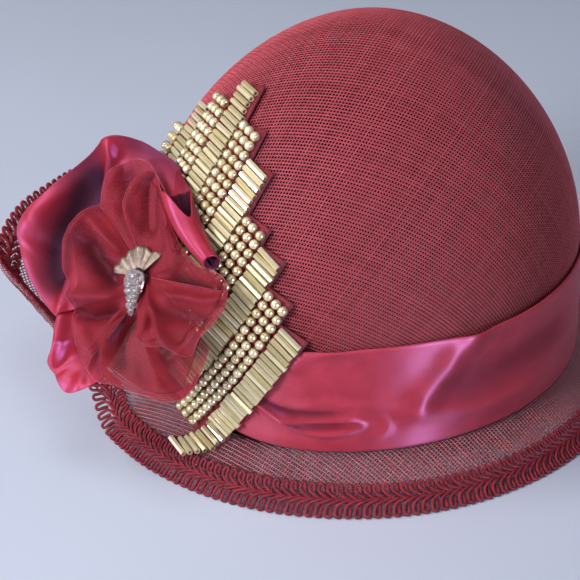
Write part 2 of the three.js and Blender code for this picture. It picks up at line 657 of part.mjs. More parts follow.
// Leaf-shaped setting under cut stones, and the pin that holds the brooch.
function brooch() {
  const start = new THREE.Vector2(LEAF_START.x, LEAF_START.y);
  const end = new THREE.Vector2(LEAF_END.x, LEAF_END.y);
  const axis = end.clone().sub(start).normalize();
  const side = new THREE.Vector2(-axis.y, axis.x);
  const spot = (share, aside) => start.clone().lerp(end, share).addScaledVector(side, aside);
  const head = start.clone().addScaledVector(axis, -STONE_RADIUS);
  const tail = end.clone().addScaledVector(axis, STONE_RADIUS);
  const [leftTurn, rightTurn] = [spot(0, LEAF_WIDTH), spot(0, -LEAF_WIDTH)];
  const leftShoulder = spot(LEAF_SHOULDER, LEAF_SHOULDER_WIDTH);
  const rightShoulder = spot(LEAF_SHOULDER, -LEAF_SHOULDER_WIDTH);
  const outline = new THREE.Shape();
  outline.moveTo(head.x, head.y);
  outline.quadraticCurveTo(leftTurn.x, leftTurn.y, leftShoulder.x, leftShoulder.y);
  outline.lineTo(tail.x, tail.y);
  outline.lineTo(rightShoulder.x, rightShoulder.y);
  outline.quadraticCurveTo(rightTurn.x, rightTurn.y, head.x, head.y);
  const plate = new THREE.ExtrudeGeometry(
    outline, { depth: LEAF_THICKNESS, bevelEnabled: false, curveSegments: LEAF_CURVE_STEPS });
  const stone = new THREE.CylinderGeometry(STONE_TABLE_RADIUS, STONE_RADIUS, STONE_RISE, STONE_SIDES);
  stone.rotateX(Math.PI / 2);
  const stones = [];
  for (let row = 0; row < STONE_ROWS; row += 1) {
    const share = row / STONE_ROWS;
    const aside = STONE_SPREAD * (1 - STONE_TAPER * share);
    for (const offset of row < STONE_PAIRS ? [-aside, aside] : [0]) {
      const seat = spot(share + STONE_FIRST, offset);
      stones.push(placed(stone, seat.x, seat.y, BROOCH_HEIGHT + LEAF_THICKNESS + STONE_RISE - STONE_SEAT));
    }
  }
  const pinLength = BROOCH_HEIGHT + LEAF_THICKNESS / 2;
  const pin = new THREE.CylinderGeometry(PIN_RADIUS, PIN_RADIUS, pinLength, PIN_SIDES);
  pin.rotateX(Math.PI / 2);
  const body = joined([
    fanPlate(), placed(plate, 0, 0, BROOCH_HEIGHT), ...stones, placed(pin, 0, 0, pinLength / 2)]);
  return meshOf('brooch', body, PALE_GOLD);
}

flower.add(...PETALS.map(petal), satinRoll(), brooch());

const hat = new THREE.Group();
hat.add(crown(), brim(), edgeBraid(), hatBand(), beadPanel(), flower);

// The origin is the middle of the outer box, on the rest plane
const box = new THREE.Box3().setFromObject(hat, true);
const middle = box.getCenter(new THREE.Vector3());
hat.position.set(-middle.x, -middle.y, 0);

const part = new THREE.Group();
part.add(hat);
export default part;
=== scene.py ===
"""Dress hat: woven crown and brim, gimp edge, satin band, beaded panel, cloth flower and brooch.

Sizes in the classes are millimetres about the crown's axis, and azimuths are degrees round it.
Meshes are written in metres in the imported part's frame.
"""
import logging
import math
from dataclasses import dataclass
from enum import Enum
from typing import Callable, ClassVar, Sequence

import bpy
import numpy as np
from mathutils import Matrix, Vector


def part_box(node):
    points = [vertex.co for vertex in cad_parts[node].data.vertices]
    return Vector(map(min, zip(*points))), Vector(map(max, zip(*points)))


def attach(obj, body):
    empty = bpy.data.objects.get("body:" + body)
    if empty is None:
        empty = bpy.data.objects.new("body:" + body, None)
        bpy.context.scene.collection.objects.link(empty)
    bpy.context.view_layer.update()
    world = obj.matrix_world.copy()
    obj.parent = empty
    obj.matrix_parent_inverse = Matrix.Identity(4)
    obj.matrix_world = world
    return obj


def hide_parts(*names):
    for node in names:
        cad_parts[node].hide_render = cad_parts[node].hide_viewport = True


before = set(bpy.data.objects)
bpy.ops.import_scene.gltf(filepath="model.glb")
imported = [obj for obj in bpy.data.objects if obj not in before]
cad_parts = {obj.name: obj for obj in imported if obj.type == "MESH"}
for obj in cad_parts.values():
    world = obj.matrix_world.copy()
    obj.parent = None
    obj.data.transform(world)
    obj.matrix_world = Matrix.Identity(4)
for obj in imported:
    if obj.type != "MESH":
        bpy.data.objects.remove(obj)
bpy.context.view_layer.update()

LOG = logging.getLogger("hat")
MM = 0.001
FULL_TURN = 360.0
BODY = "root"
TINT = "tint"
# Name of the painted shade stored along the furrows of cloth
PAINTED_SHADE = "shade"

Array = np.ndarray
Shade = tuple[float, float, float, float]
Socket = bpy.types.NodeSocket
Material = bpy.types.Material
Piece = bpy.types.Object


class Slot(Enum):
    """Material slots."""

    STRAW = "straw"
    BRAID = "braid"
    SATIN = "satin"
    ORGANZA = "organza"
    BEADS = "beads"
    BROOCH = "brooch"


class Held(Enum):
    """How a cloth sheet is held."""

    GATHERED = "gathered"
    FOLDED = "folded"
    LAID = "laid"
    STRETCHED = "stretched"


class Bead(Enum):
    """Kinds of bead on the panel."""

    BUGLE = "bugle"
    ROUND = "round"


def colour(red: int, green: int, blue: int) -> Shade:
    """Turn a matched shade into a linear colour.

    Args:
        red, green, blue: Levels from 0 to 255.

    Returns:
        The linear colour with full alpha.
    """
    levels = np.array([red, green, blue]) / 255
    linear = np.where(levels <= 0.04045, levels / 12.92, ((levels + 0.055) / 1.055) ** 2.4)
    return (float(linear[0]), float(linear[1]), float(linear[2]), 1.0)


def crown_axis() -> Array:
    """Find the crown's axis on the rest plane, in millimetres of the part's frame."""
    low, high = (np.array(corner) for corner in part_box("crown"))
    middle = (low + high) / 2 / MM
    return np.array([middle[0], middle[1], 0.0])


AXIS = crown_axis()


@dataclass
class Shell:
    """Points and faces of a piece, with the flat place of each face corner for its weave."""

    points: Array
    faces: list[Array]
    flat: Array | None = None

    def facing_out(self) -> "Shell":
        """Turn the faces round if the closed shell is inside out.

        Returns:
            This shell.
        """
        volume = 0.0
        for faces in self.faces:
            corners = self.points[faces]
            for last in range(2, faces.shape[1]):
                turned = np.cross(corners[:, last - 1], corners[:, last])
                volume += float(np.einsum("ij,ij->", corners[:, 0], turned))
        if volume < 0:
            self.faces = [faces[:, ::-1] for faces in self.faces]
            if self.flat is not None:
                self.flat = self.flat[:, ::-1]
        return self


def joined(shells: Sequence[Shell]) -> Shell:
    """Put several shells of four-cornered faces into one.

    Args:
        shells: Shells that each have one list of faces.

    Returns:
        One shell with all their points and faces.
    """
    starts = np.cumsum([0] + [len(shell.points) for shell in shells])
    faces = [shell.faces[0] + start for shell, start in zip(shells, starts)]
    flat = None if shells[0].flat is None else np.concatenate([shell.flat for shell in shells])
    return Shell(np.concatenate([shell.points for shell in shells]), [np.concatenate(faces)], flat)


def new_object(name: str, mesh: bpy.types.Mesh) -> Piece:
    """Link a mesh to the scene as an object at the origin."""
    piece = bpy.data.objects.new(name, mesh)
    bpy.context.scene.collection.objects.link(piece)
    return piece


def put_attribute(mesh: bpy.types.Mesh, name: str, values: Array) -> None:
    """Store a number or a vector for each point of a mesh."""
    is_vector = values.ndim > 1
    layer = mesh.attributes.new(name, "FLOAT_VECTOR" if is_vector else "FLOAT", "POINT")
    layer.data.foreach_set("vector" if is_vector else "value", values.astype(np.float32).ravel())


def add_piece(name: str, shell: Shell, finish: Material, smooth: bool = True, **stored: Array) -> Piece:
    """Write a shell as a mesh object.

    Args:
        name: Name of the piece.
        shell: Its points in millimetres about the crown's axis, and its faces.
        finish: Its material.
        smooth: Whether its faces are shaded smooth.
        stored: Values kept for each point.

    Returns:
        The new object.
    """
    mesh = bpy.data.meshes.new(name)
    corners = np.concatenate([faces.ravel() for faces in shell.faces]).astype(np.int32)
    totals = np.concatenate([np.full(len(faces), faces.shape[1], np.int32) for faces in shell.faces])
    mesh.vertices.add(len(shell.points))
    mesh.vertices.foreach_set("co", ((shell.points + AXIS) * MM).astype(np.float32).ravel())
    mesh.loops.add(len(corners))
    mesh.loops.foreach_set("vertex_index", corners)
    mesh.polygons.add(len(totals))
    mesh.polygons.foreach_set("loop_start", (np.cumsum(totals) - totals).astype(np.int32))
    mesh.polygons.foreach_set("loop_total", totals)
    mesh.update(calc_edges=True)
    mesh.polygons.foreach_set("use_smooth", np.full(len(totals), smooth))
    if shell.flat is not None:
        layer = mesh.uv_layers.new(name="flat")
        layer.data.foreach_set("uv", (shell.flat.reshape(-1, 2) * MM).astype(np.float32).ravel())
    mesh.materials.append(finish)
    for key, values in stored.items():
        put_attribute(mesh, key, values)
    return new_object(name, mesh)


def declare(piece: Piece, slot: Slot, *nodes: str) -> Piece:
    """Let a piece ride on the hat's body, in place of CAD nodes.

    Args:
        piece: The finished piece.
        slot: Not used.
        nodes: CAD nodes that it stands for.

    Returns:
        The piece.
    """
    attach(piece, BODY)
    if nodes:
        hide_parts(*nodes)
    LOG.info("%s: %d faces", piece.name, len(piece.data.polygons))
    return piece


def shell_between(front: Array, back: Array, is_ring: bool, size: tuple[float, float]) -> Shell:
    """Close the wall between a front and a back grid of points.

    Args:
        front, back: Grids of rows and columns of points.
        is_ring: Whether the last column joins the first.
        size: Flat length along the columns and flat width along the rows.

    Returns:
        The closed shell, with flat places for its weave.
    """
    rows, columns = front.shape[:2]
    spans = columns if is_ring else columns - 1
    row, column = (index.ravel() for index in np.indices((rows - 1, spans)))
    span, rise = np.arange(spans), np.arange(rows - 1)
    last_row, last_column = rows - 1, columns - 1

    def quad(*corners: tuple) -> Array:
        """Four corners, each as side, row and column."""
        return np.stack([np.stack(np.broadcast_arrays(*corner), axis=-1) for corner in corners], axis=1)

    quads = [
        quad((0, row, column), (0, row, column + 1), (0, row + 1, column + 1), (0, row + 1, column)),
        quad((1, row, column), (1, row + 1, column), (1, row + 1, column + 1), (1, row, column + 1)),
        quad((0, 0, span + 1), (0, 0, span), (1, 0, span), (1, 0, span + 1)),
        quad((0, last_row, span), (0, last_row, span + 1), (1, last_row, span + 1), (1, last_row, span)),
    ]
    if not is_ring:
        quads.append(quad((0, rise, 0), (0, rise + 1, 0), (1, rise + 1, 0), (1, rise, 0)))
        quads.append(quad(
            (0, rise + 1, last_column), (0, rise, last_column),
            (1, rise, last_column), (1, rise + 1, last_column)))
    corners = np.concatenate(quads)
    side, row, column = corners[..., 0], corners[..., 1], corners[..., 2]
    faces = (side * rows + row) * columns + column % columns
    flat = np.stack([column / spans * size[0], row / last_row * size[1]], axis=-1)
    points = np.concatenate([front.reshape(-1, 3), back.reshape(-1, 3)])
    return Shell(points, [faces], flat).facing_out()


def unit(vectors: Array) -> Array:
    """Scale vectors to length 1."""
    return vectors / np.maximum(np.linalg.norm(vectors, axis=-1, keepdims=True), 1e-9)


def toward(azimuth: float, elevation: float) -> Array:
    """Give the unit vector at an azimuth and an elevation in degrees."""
    turn, lift = math.radians(azimuth), math.radians(elevation)
    return np.array([math.cos(turn) * math.cos(lift), math.sin(turn) * math.cos(lift), math.sin(lift)])


def level_way(azimuth: Array) -> Array:
    """Give the level unit vectors at azimuths in degrees."""
    angle = np.radians(azimuth)
    return np.stack([np.cos(angle), np.sin(angle)], axis=-1)


def bearing(places: Array) -> Array:
    """Give the azimuths of places, in degrees."""
    return np.degrees(np.arctan2(places[..., 1], places[..., 0]))


def matched(*values: Array) -> list[Array]:
    """Bring values to one shape, as floats."""
    return [value.astype(float) for value in np.broadcast_arrays(*values)]


def eased(share: Array) -> Array:
    """Ease a share of the way from 0 to 1, level at both ends."""
    share = np.clip(share, 0, 1)
    return share**2 * (3 - 2 * share)


def bent(step: Array, start: Array, bend: Array, end: Array) -> Array:
    """Give places on the curve from a start to an end that is drawn towards a bend."""
    return (1 - step) ** 2 * start + 2 * step * (1 - step) * bend + step**2 * end


def bent_way(step: Array, start: Array, bend: Array, end: Array) -> Array:
    """Give the directions along such a curve."""
    return (1 - step) * (bend - start) + step * (end - bend)


def line_lengths(points: Array, axis: int) -> Array:
    """Measure the lines of a grid of points along one axis."""
    return np.linalg.norm(np.diff(points, axis=axis), axis=-1).sum(axis=axis)


def sheet_around(middle: Array, thickness: float) -> Shell:
    """Thicken a grid of points half to each side.

    Args:
        middle: Grid of points on the cloth's middle face.
        thickness: Thickness of the cloth.

    Returns:
        The closed shell.
    """
    normal = unit(np.cross(np.gradient(middle, axis=1), np.gradient(middle, axis=0))) * thickness / 2
    size = (float(line_lengths(middle, 1).max()), float(line_lengths(middle, 0).max()))
    return shell_between(middle + normal, middle - normal, False, size)


def cloth_area(middle: Array) -> float:
    """Measure the area of a grid of points, in square millimetres."""
    across, along = np.diff(middle, axis=1)[:-1], np.diff(middle, axis=0)[:, :-1]
    return float(np.linalg.norm(np.cross(across, along), axis=-1).sum())


def blend_rows(rows: Sequence[Array], part: Array) -> Array:
    """Blend smoothly from the second to the third of four neighbouring table rows.

    Args:
        rows: The four rows.
        part: Share of the way, from 0 to 1.

    Returns:
        The blended row.
    """
    before, start, end, after = rows
    part = np.asarray(part)[..., None]
    square, cube = part**2, part**3
    return (
        (2 * cube - 3 * square + 1) * start + (cube - 2 * square + part) * (end - before) / 2
        + (3 * square - 2 * cube) * end + (cube - square) * (after - start) / 2)


class RoundTable:
    """Rows that go all the way round, each led by its azimuth."""

    def __init__(self, rows: Sequence[Sequence[float]]) -> None:
        """Take the rows in the order of their azimuths."""
        table = np.array(rows, float)
        self.azimuths, self.rows = table[:, 0], table[:, 1:]

    def at(self, azimuth: Array) -> Array:
        """Blend the rows at azimuths.

        Args:
            azimuth: Azimuths in degrees.

        Returns:
            One row of values for each azimuth.
        """
        angle = np.mod(azimuth, FULL_TURN)
        count = len(self.rows)
        start = np.searchsorted(self.azimuths, angle, side="right") - 1
        opening = self.azimuths[start]
        closing = self.azimuths[(start + 1) % count] + FULL_TURN * ((start + 1) // count)
        rows = [self.rows[(start + step) % count] for step in (-1, 0, 1, 2)]
        return blend_rows(rows, (angle - opening) / (closing - opening))


class OpenTable:
    """Rows from a first to a last one."""

    def __init__(self, rows: Sequence[Sequence[float]]) -> None:
        """Take the rows in order."""
        self.rows = np.array(rows, float)

    def at(self, position: Array) -> Array:
        """Blend the rows at positions counted in rows.

        Args:
            position: Positions from 0 to the last row's number.

        Returns:
            One row of values for each position.
        """
        last = len(self.rows) - 1
        start = np.minimum(np.floor(position).astype(int), last - 1)
        rows = [self.rows[np.clip(start + step, 0, last)] for step in (-1, 0, 1, 2)]
        return blend_rows(rows, position - start)


@dataclass(frozen=True)
class Crease:
    """A ridge or, with a negative rise, a furrow along a line on the cloth, that dies away at both ends."""

    ENDS: ClassVar[float] = 0.28
    STEPS: ClassVar[int] = 5

    rise: float
    spread: float
    line: tuple

    def lift(self, spots: Array, size: tuple[float, float] = (1.0, 1.0)) -> Array:
        """Give how far the crease moves the cloth out.

        Args:
            spots: Places on the cloth, in the units of the line.
            size: Millimetres for one unit each way.

        Returns:
            The distances.
        """
        last = len(self.line) - 1
        corners = OpenTable(self.line).at(np.linspace(0, last, last * self.STEPS + 1)) * size
        places = spots * size
        steps = np.diff(corners, axis=0)
        lengths = np.linalg.norm(steps, axis=1)
        starts = np.cumsum(lengths) - lengths
        nearest, share = np.full(spots.shape[:-1], np.inf), np.zeros(spots.shape[:-1])
        for corner, step, length, start in zip(corners, steps, lengths, starts):
            along = np.clip((places - corner) @ step / length**2, 0, 1)
            away = np.linalg.norm(places - corner - along[..., None] * step, axis=-1)
            share = np.where(away < nearest, (start + along * length) / lengths.sum(), share)
            nearest = np.minimum(nearest, away)
        ends = eased(np.minimum(share, 1 - share) / self.ENDS)
        return self.rise * ends * np.exp(-((nearest / self.spread) ** 2))


def painted_furrow_shade(lifts: Sequence[Array], depth: float) -> Array:
    """Give the painted shade in furrows, which darkens the cloth's colour there.

    Args:
        lifts: How far each crease moves the cloth out.
        depth: Depth of a furrow that gets the full painted shade.

    Returns:
        Shares from 0 to 1.
    """
    return np.clip(sum(np.maximum(-lift, 0) for lift in lifts) / depth, 0, 1)


class NodeTree:
    """A node tree, filled in a few calls."""

    def __init__(self, tree: bpy.types.NodeTree) -> None:
        """Take a tree to fill."""
        self.tree = tree

    def feed(self, node: bpy.types.Node, inputs: dict) -> None:
        """Set or link a node's inputs, by name or number."""
        for key, value in inputs.items():
            if isinstance(value, Socket):
                self.tree.links.new(value, node.inputs[key])
            else:
                node.inputs[key].default_value = value

    def add(self, kind: str, inputs: dict | None = None, **settings: object) -> bpy.types.Node:
        """Add a node.

        Args:
            kind: Type of the node.
            inputs: Values or links for its inputs, by their names or numbers.
            settings: Values for its own settings.

        Returns:
            The node.
        """
        node = self.tree.nodes.new(kind)
        for key, value in settings.items():
            setattr(node, key, value)
        self.feed(node, inputs or {})
        return node

    def math(self, operation: str, *values: object) -> Socket:
        """Combine numbers."""
        return self.add("ShaderNodeMath", dict(enumerate(values)), operation=operation).outputs[0]


class Shader(NodeTree):
    """A material's node tree round one surface node."""

    def __init__(self, name: str) -> None:
        """Start a material with one surface node."""
        self.material = bpy.data.materials.new(name)
        self.material.use_nodes = True
        super().__init__(self.material.node_tree)
        self.tree.nodes.clear()
        self.surface = self.add("ShaderNodeBsdfPrincipled")
        self.add("ShaderNodeOutputMaterial", {0: self.surface.outputs[0]})

    def place(self) -> Socket:
        """Give the place on the piece, in metres."""
        return self.add("ShaderNodeTexCoord").outputs["Object"]

    def flat(self) -> Socket:
        """Give the place on the flat cloth, in metres."""
        return self.add("ShaderNodeUVMap", uv_map="flat").outputs["UV"]

    def stored(self, name: str) -> Socket:
        """Give a number stored for each point or bead."""
        return self.add("ShaderNodeAttribute", attribute_name=name).outputs["Fac"]

    def noise(self, vector: Socket, scale: float, detail: float = 2.0) -> Socket:
        """Give a soft noise from 0 to 1 at a place."""
        inputs = {"Vector": vector, "Scale": scale, "Detail": detail}
        return self.add("ShaderNodeTexNoise", inputs).outputs["Fac"]

    def bands(self, vector: Socket, axis: str, scale: float) -> Socket:
        """Give even threads across one axis of a place."""
        inputs = {"Vector": vector, "Scale": scale}
        return self.add("ShaderNodeTexWave", inputs, bands_direction=axis).outputs["Fac"]

    def weighed(self, *parts: tuple[Socket, float]) -> Socket:
        """Add up two numbers, each times its weight."""
        return self.math("ADD", *(self.math("MULTIPLY", value, weight) for value, weight in parts))

    def stretched(self, vector: Socket, scale: tuple) -> Socket:
        """Stretch a place along its axes."""
        return self.add("ShaderNodeMapping", {"Vector": vector, "Scale": scale}).outputs[0]

    def ramp(self, share: Socket, stops: Sequence[tuple[float, Shade]]) -> Socket:
        """Colour a share from 0 to 1 by stops in rising order."""
        node = self.add("ShaderNodeValToRGB", {0: share})
        elements = node.color_ramp.elements
        elements.remove(elements[1])
        elements[0].position = stops[0][0]
        for position, _ in stops[1:]:
            elements.new(position)
        for element, (_, shade) in zip(elements, stops):
            element.color = shade
        return node.outputs["Color"]

    def shaded(self, base: Socket, painted_shade_colour: Shade) -> Socket:
        """Darken a colour towards the painted shade colour by the painted shade stored along the furrows of a
        cloth.
        """
        inputs = {0: self.stored(PAINTED_SHADE), 6: base, 7: painted_shade_colour}
        return self.add("ShaderNodeMix", inputs, data_type="RGBA").outputs[2]

    def bump(self, height: Socket, strength: float, distance: float) -> None:
        """Raise the surface by a height, with a depth in metres."""
        inputs = {"Height": height, "Strength": strength, "Distance": distance}
        self.feed(self.surface, {"Normal": self.add("ShaderNodeBump", inputs).outputs[0]})


@dataclass(frozen=True)
class StrawFinish:
    """Dyed straw strands, with uneven colour and a soft lilac sheen."""

    name: str
    deep: Shade
    light: Shade
    roughness: float = 0.5
    sheen: float = 0.1
    sheen_shade: Shade = colour(226, 150, 180)

    def material(self) -> Material:
        """Make the material."""
        shader = Shader(self.name)
        place = shader.place()
        uneven = shader.noise(place, scale=160.0, detail=3.0)
        mixed = shader.weighed((shader.stored(TINT), 0.7), (uneven, 0.4))
        shader.feed(shader.surface, {
            "Base Color": shader.ramp(mixed, [(0.1, self.deep), (0.95, self.light)]),
            "Roughness": self.roughness, "Specular IOR Level": 0.3, "Sheen Weight": self.sheen,
            "Sheen Roughness": 0.4, "Sheen Tint": self.sheen_shade})
        shader.bump(shader.noise(place, scale=2600.0), strength=0.35, distance=0.0002)
        return shader.material


@dataclass(frozen=True)
class CordFinish:
    """Twisted cotton cord of the edge braid."""

    deep: Shade = colour(54, 5, 13)
    light: Shade = colour(164, 43, 58)

    def material(self) -> Material:
        """Make the material."""
        shader = Shader("gimp_cord")
        place = shader.place()
        waves = {"Vector": place, "Scale": 900.0, "Distortion": 3.0, "Detail": 1.0}
        twist = shader.add("ShaderNodeTexWave", waves, bands_direction="DIAGONAL").outputs["Fac"]
        uneven = shader.noise(place, scale=420.0, detail=3.0)
        mixed = shader.weighed((twist, 0.35), (uneven, 0.8))
        shader.feed(shader.surface, {
            "Base Color": shader.ramp(mixed, [(0.2, self.deep), (0.85, self.light)]),
            "Roughness": 0.5, "Specular IOR Level": 0.25, "Sheen Weight": 0.08,
            "Sheen Tint": colour(225, 160, 185)})
        shader.bump(twist, strength=0.5, distance=0.00015)
        return shader.material


@dataclass(frozen=True)
class SatinFinish:
    """Glossy satin whose floats stretch the light across the cloth."""

    name: str = "petal_satin"
    # Colour of the painted shade at the foot of the furrows
    painted_shade_colour: Shade = colour(30, 3, 4)
    deep: Shade = colour(152, 30, 42)
    mid: Shade = colour(174, 42, 56)
    gloss_shade: Shade = colour(236, 150, 204)
    roughness: float = 0.43
    gloss: float = 0.5
    stretch: float = 0.8
    dulled: float = 0.4
    grain: float = 2600.0

    def material(self) -> Material:
        """Make the material."""
        shader = Shader(self.name)
        flat = shader.flat()
        uneven = shader.noise(shader.stretched(flat, (1.0, 2.5, 1.0)), scale=45.0, detail=3.0)
        base = shader.ramp(uneven, [(0.3, self.deep), (0.7, self.mid)])
        tangent = shader.add("ShaderNodeTangent", direction_type="UV_MAP", uv_map="flat")
        shader.feed(shader.surface, {
            # Painted shade: the base colour darkens along the furrows by the stored shade, and the roughness
            # rises there to dull their reflections.
            "Base Color": shader.shaded(base, self.painted_shade_colour),
            "Roughness": shader.math("MULTIPLY_ADD", shader.stored(PAINTED_SHADE), self.dulled, self.roughness),
            "IOR": 1.75, "Specular IOR Level": self.gloss,
            "Specular Tint": self.gloss_shade, "Anisotropic": self.stretch, "Anisotropic Rotation": 0.25,
            "Sheen Weight": 0.05, "Sheen Tint": self.gloss_shade,
            "Tangent": tangent.outputs[0]})
        grain = shader.noise(shader.stretched(flat, (0.4, 1.0, 1.0)), self.grain)
        shader.bump(grain, strength=0.12, distance=0.0001)
        return shader.material


@dataclass(frozen=True)
class OrganzaFinish:
    """Sheer crisp cloth with fine threads both ways."""

    # Colour of the painted shade at the foot of the furrows
    painted_shade_colour: Shade = colour(84, 8, 14)
    deep: Shade = colour(130, 22, 32)
    light: Shade = colour(166, 41, 51)
    gap_cover: float = 0.24
    thread_cover: float = 0.3
    thread_scale: float = 700.0

    def material(self) -> Material:
        """Make the material."""
        shader = Shader("organza")
        flat = shader.flat()
        warp = shader.bands(flat, "X", self.thread_scale)
        weft = shader.bands(flat, "Y", self.thread_scale)
        threads = shader.math("MAXIMUM", warp, weft)
        uneven = shader.noise(flat, scale=90.0, detail=3.0)
        base = shader.ramp(uneven, [(0.25, self.deep), (0.75, self.light)])
        shader.feed(shader.surface, {
            # Painted shade: the base colour darkens along the furrows by the stored shade.
            "Base Color": shader.shaded(base, self.painted_shade_colour),
            "Alpha": shader.math("MULTIPLY_ADD", threads, self.thread_cover, self.gap_cover),
            "Roughness": 0.58, "Specular IOR Level": 0.35, "Specular Tint": colour(240, 180, 200),
            "Sheen Weight": 0.3, "Sheen Tint": colour(235, 140, 165)})
        shader.bump(threads, strength=0.15, distance=0.0001)
        return shader.material


@dataclass(frozen=True)
class GiltFinish:
    """Metal-lined glass of the beads, each of its own tone."""

    name: str
    deep: Shade
    light: Shade
    metallic: float = 0.35
    roughness: float = 0.3

    def material(self) -> Material:
        """Make the material."""
        shader = Shader(self.name)
        uneven = shader.noise(shader.place(), scale=300.0)
        mixed = shader.weighed((uneven, 0.3), (shader.stored(TINT), 0.7))
        shader.feed(shader.surface, {
            "Base Color": shader.ramp(mixed, [(0.1, self.deep), (0.9, self.light)]),
            "Metallic": self.metallic, "Roughness": self.roughness,
            "Coat Weight": 0.4, "Coat Roughness": 0.12})
        return shader.material


@dataclass(frozen=True)
class PlainFinish:
    """Backing cloth, metal or stone with a mottled colour and a grain."""

    name: str
    deep: Shade
    light: Shade
    roughness: float = 0.8
    metallic: float = 0.0
    grain: float = 900.0
    stretch: tuple[float, float, float] = (1.0, 1.0, 1.0)
    relief: float = 0.3
    gloss: float = 0.5

    def material(self) -> Material:
        """Make the material."""
        shader = Shader(self.name)
        grain = shader.noise(shader.stretched(shader.place(), self.stretch), self.grain, detail=3.0)
        shader.feed(shader.surface, {
            "Base Color": shader.ramp(grain, [(0.3, self.deep), (0.7, self.light)]),
            "Metallic": self.metallic, "Roughness": self.roughness, "Specular IOR Level": self.gloss})
        if self.relief:
            shader.bump(grain, self.relief, distance=0.0001)
        return shader.material


class NodeRig(NodeTree):
    """A geometry node tree with named inputs that turns a piece into a plain mesh."""

    KINDS = {float: "NodeSocketFloat", int: "NodeSocketInt", Material: "NodeSocketMaterial"}

    def __init__(self, name: str, inputs: dict) -> None:
        """Start a tree.

        Args:
            name: Name of the tree.
            inputs: Names of its inputs with their values.
        """
        super().__init__(bpy.data.node_groups.new(name, "GeometryNodeTree"))
        face = self.tree.interface
        face.new_socket("Geometry", in_out="INPUT", socket_type="NodeSocketGeometry")
        face.new_socket("Geometry", in_out="OUTPUT", socket_type="NodeSocketGeometry")
        self.values = {}
        for key, value in inputs.items():
            kind = next(kind for base, kind in self.KINDS.items() if isinstance(value, base))
            self.values[face.new_socket(key, in_out="INPUT", socket_type=kind).identifier] = value
        self.start = self.add("NodeGroupInput")

    def source(self, name: str) -> Socket:
        """Give one of the tree's inputs."""
        return self.start.outputs[name]

    def vector(self, name: str) -> Socket:
        """Read a vector stored for each point."""
        node = self.add("GeometryNodeInputNamedAttribute", {"Name": name}, data_type="FLOAT_VECTOR")
        return node.outputs["Attribute"]

    def random(self, low: float, high: float, seed: object) -> Socket:
        """Draw a number for each element with a fixed seed."""
        node = self.add("FunctionNodeRandomValue", {2: low, 3: high, "Seed": seed}, data_type="FLOAT")
        return node.outputs[1]

    def circle(self, sides: object, radius: object) -> Socket:
        """Give a circle with a number of sides and a radius."""
        inputs = {"Resolution": sides, "Radius": radius}
        return self.add("GeometryNodeCurvePrimitiveCircle", inputs).outputs[0]

    def swept(self, curve: Socket, profile: Socket, caps: bool = False) -> Socket:
        """Sweep a profile along a curve, with or without caps at its ends."""
        inputs = {"Curve": curve, "Profile Curve": profile, "Fill Caps": caps}
        return self.add("GeometryNodeCurveToMesh", inputs).outputs[0]

    def end(self, geometry: Socket, smooth: bool) -> None:
        """Close the tree with real faces, their shading and the finish.

        Args:
            geometry: What the tree has made.
            smooth: Whether the faces are shaded smooth.
        """
        real = self.add("GeometryNodeRealizeInstances", {"Geometry": geometry})
        shaded = self.add("GeometryNodeSetShadeSmooth", {0: real.outputs[0], "Shade Smooth": smooth})
        inputs = {0: shaded.outputs[0], "Material": self.source("Finish")}
        self.add("NodeGroupOutput", {0: self.add("GeometryNodeSetMaterial", inputs).outputs[0]})

    def make(self, name: str, points: Array, edges: Sequence = (), **stored: Array) -> Piece:
        """Run the tree on points and edges, and keep the result as a plain mesh.

        Args:
            name: Name of the new piece.
            points: Points in millimetres about the crown's axis.
            edges: Pairs of point numbers, or none.
            stored: Values kept for each point.

        Returns:
            The new piece.
        """
        mesh = bpy.data.meshes.new(name)
        mesh.from_pydata(((points + AXIS) * MM).tolist(), np.asarray(edges).tolist(), [])
        for key, values in stored.items():
            put_attribute(mesh, key, values)
        piece = new_object(name, mesh)
        modifier = piece.modifiers.new(name, "NODES")
        modifier.node_group = self.tree
        for identifier, value in self.values.items():
            modifier[identifier] = value
        graph = bpy.context.evaluated_depsgraph_get()
        result = bpy.data.meshes.new_from_object(piece.evaluated_get(graph), depsgraph=graph)
        piece.modifiers.clear()
        piece.data = result
        bpy.data.meshes.remove(mesh)
        result.name = name
        return piece


def cord_rig(name: str, radius: float, sides: int, finish: Material) -> NodeRig:
    """Make a tree that lays a round cord along every line of a piece.

    Args:
        name: Name of the tree.
        radius: Radius of the cord.
        sides: Sides of its section.
        finish: Its material.

    Returns:
        The tree.
    """
    rig = NodeRig(name, {"Cord Radius": radius * MM, "Cord Sides": sides, "Finish": finish})
    paths = rig.add("GeometryNodeMeshToCurve", {0: rig.source("Geometry")})
    section = rig.circle(rig.source("Cord Sides"), rig.source("Cord Radius"))
    rig.end(rig.swept(paths.outputs[0], section, True), True)
    return rig


@dataclass(frozen=True)
class StrandFamily:
    """One set of strands of a weave, on the flat cloth."""

    heading: float
    pitch: float
    width: float

    def normal(self) -> Array:
        """Give the direction across the strands."""
        return level_way(self.heading)


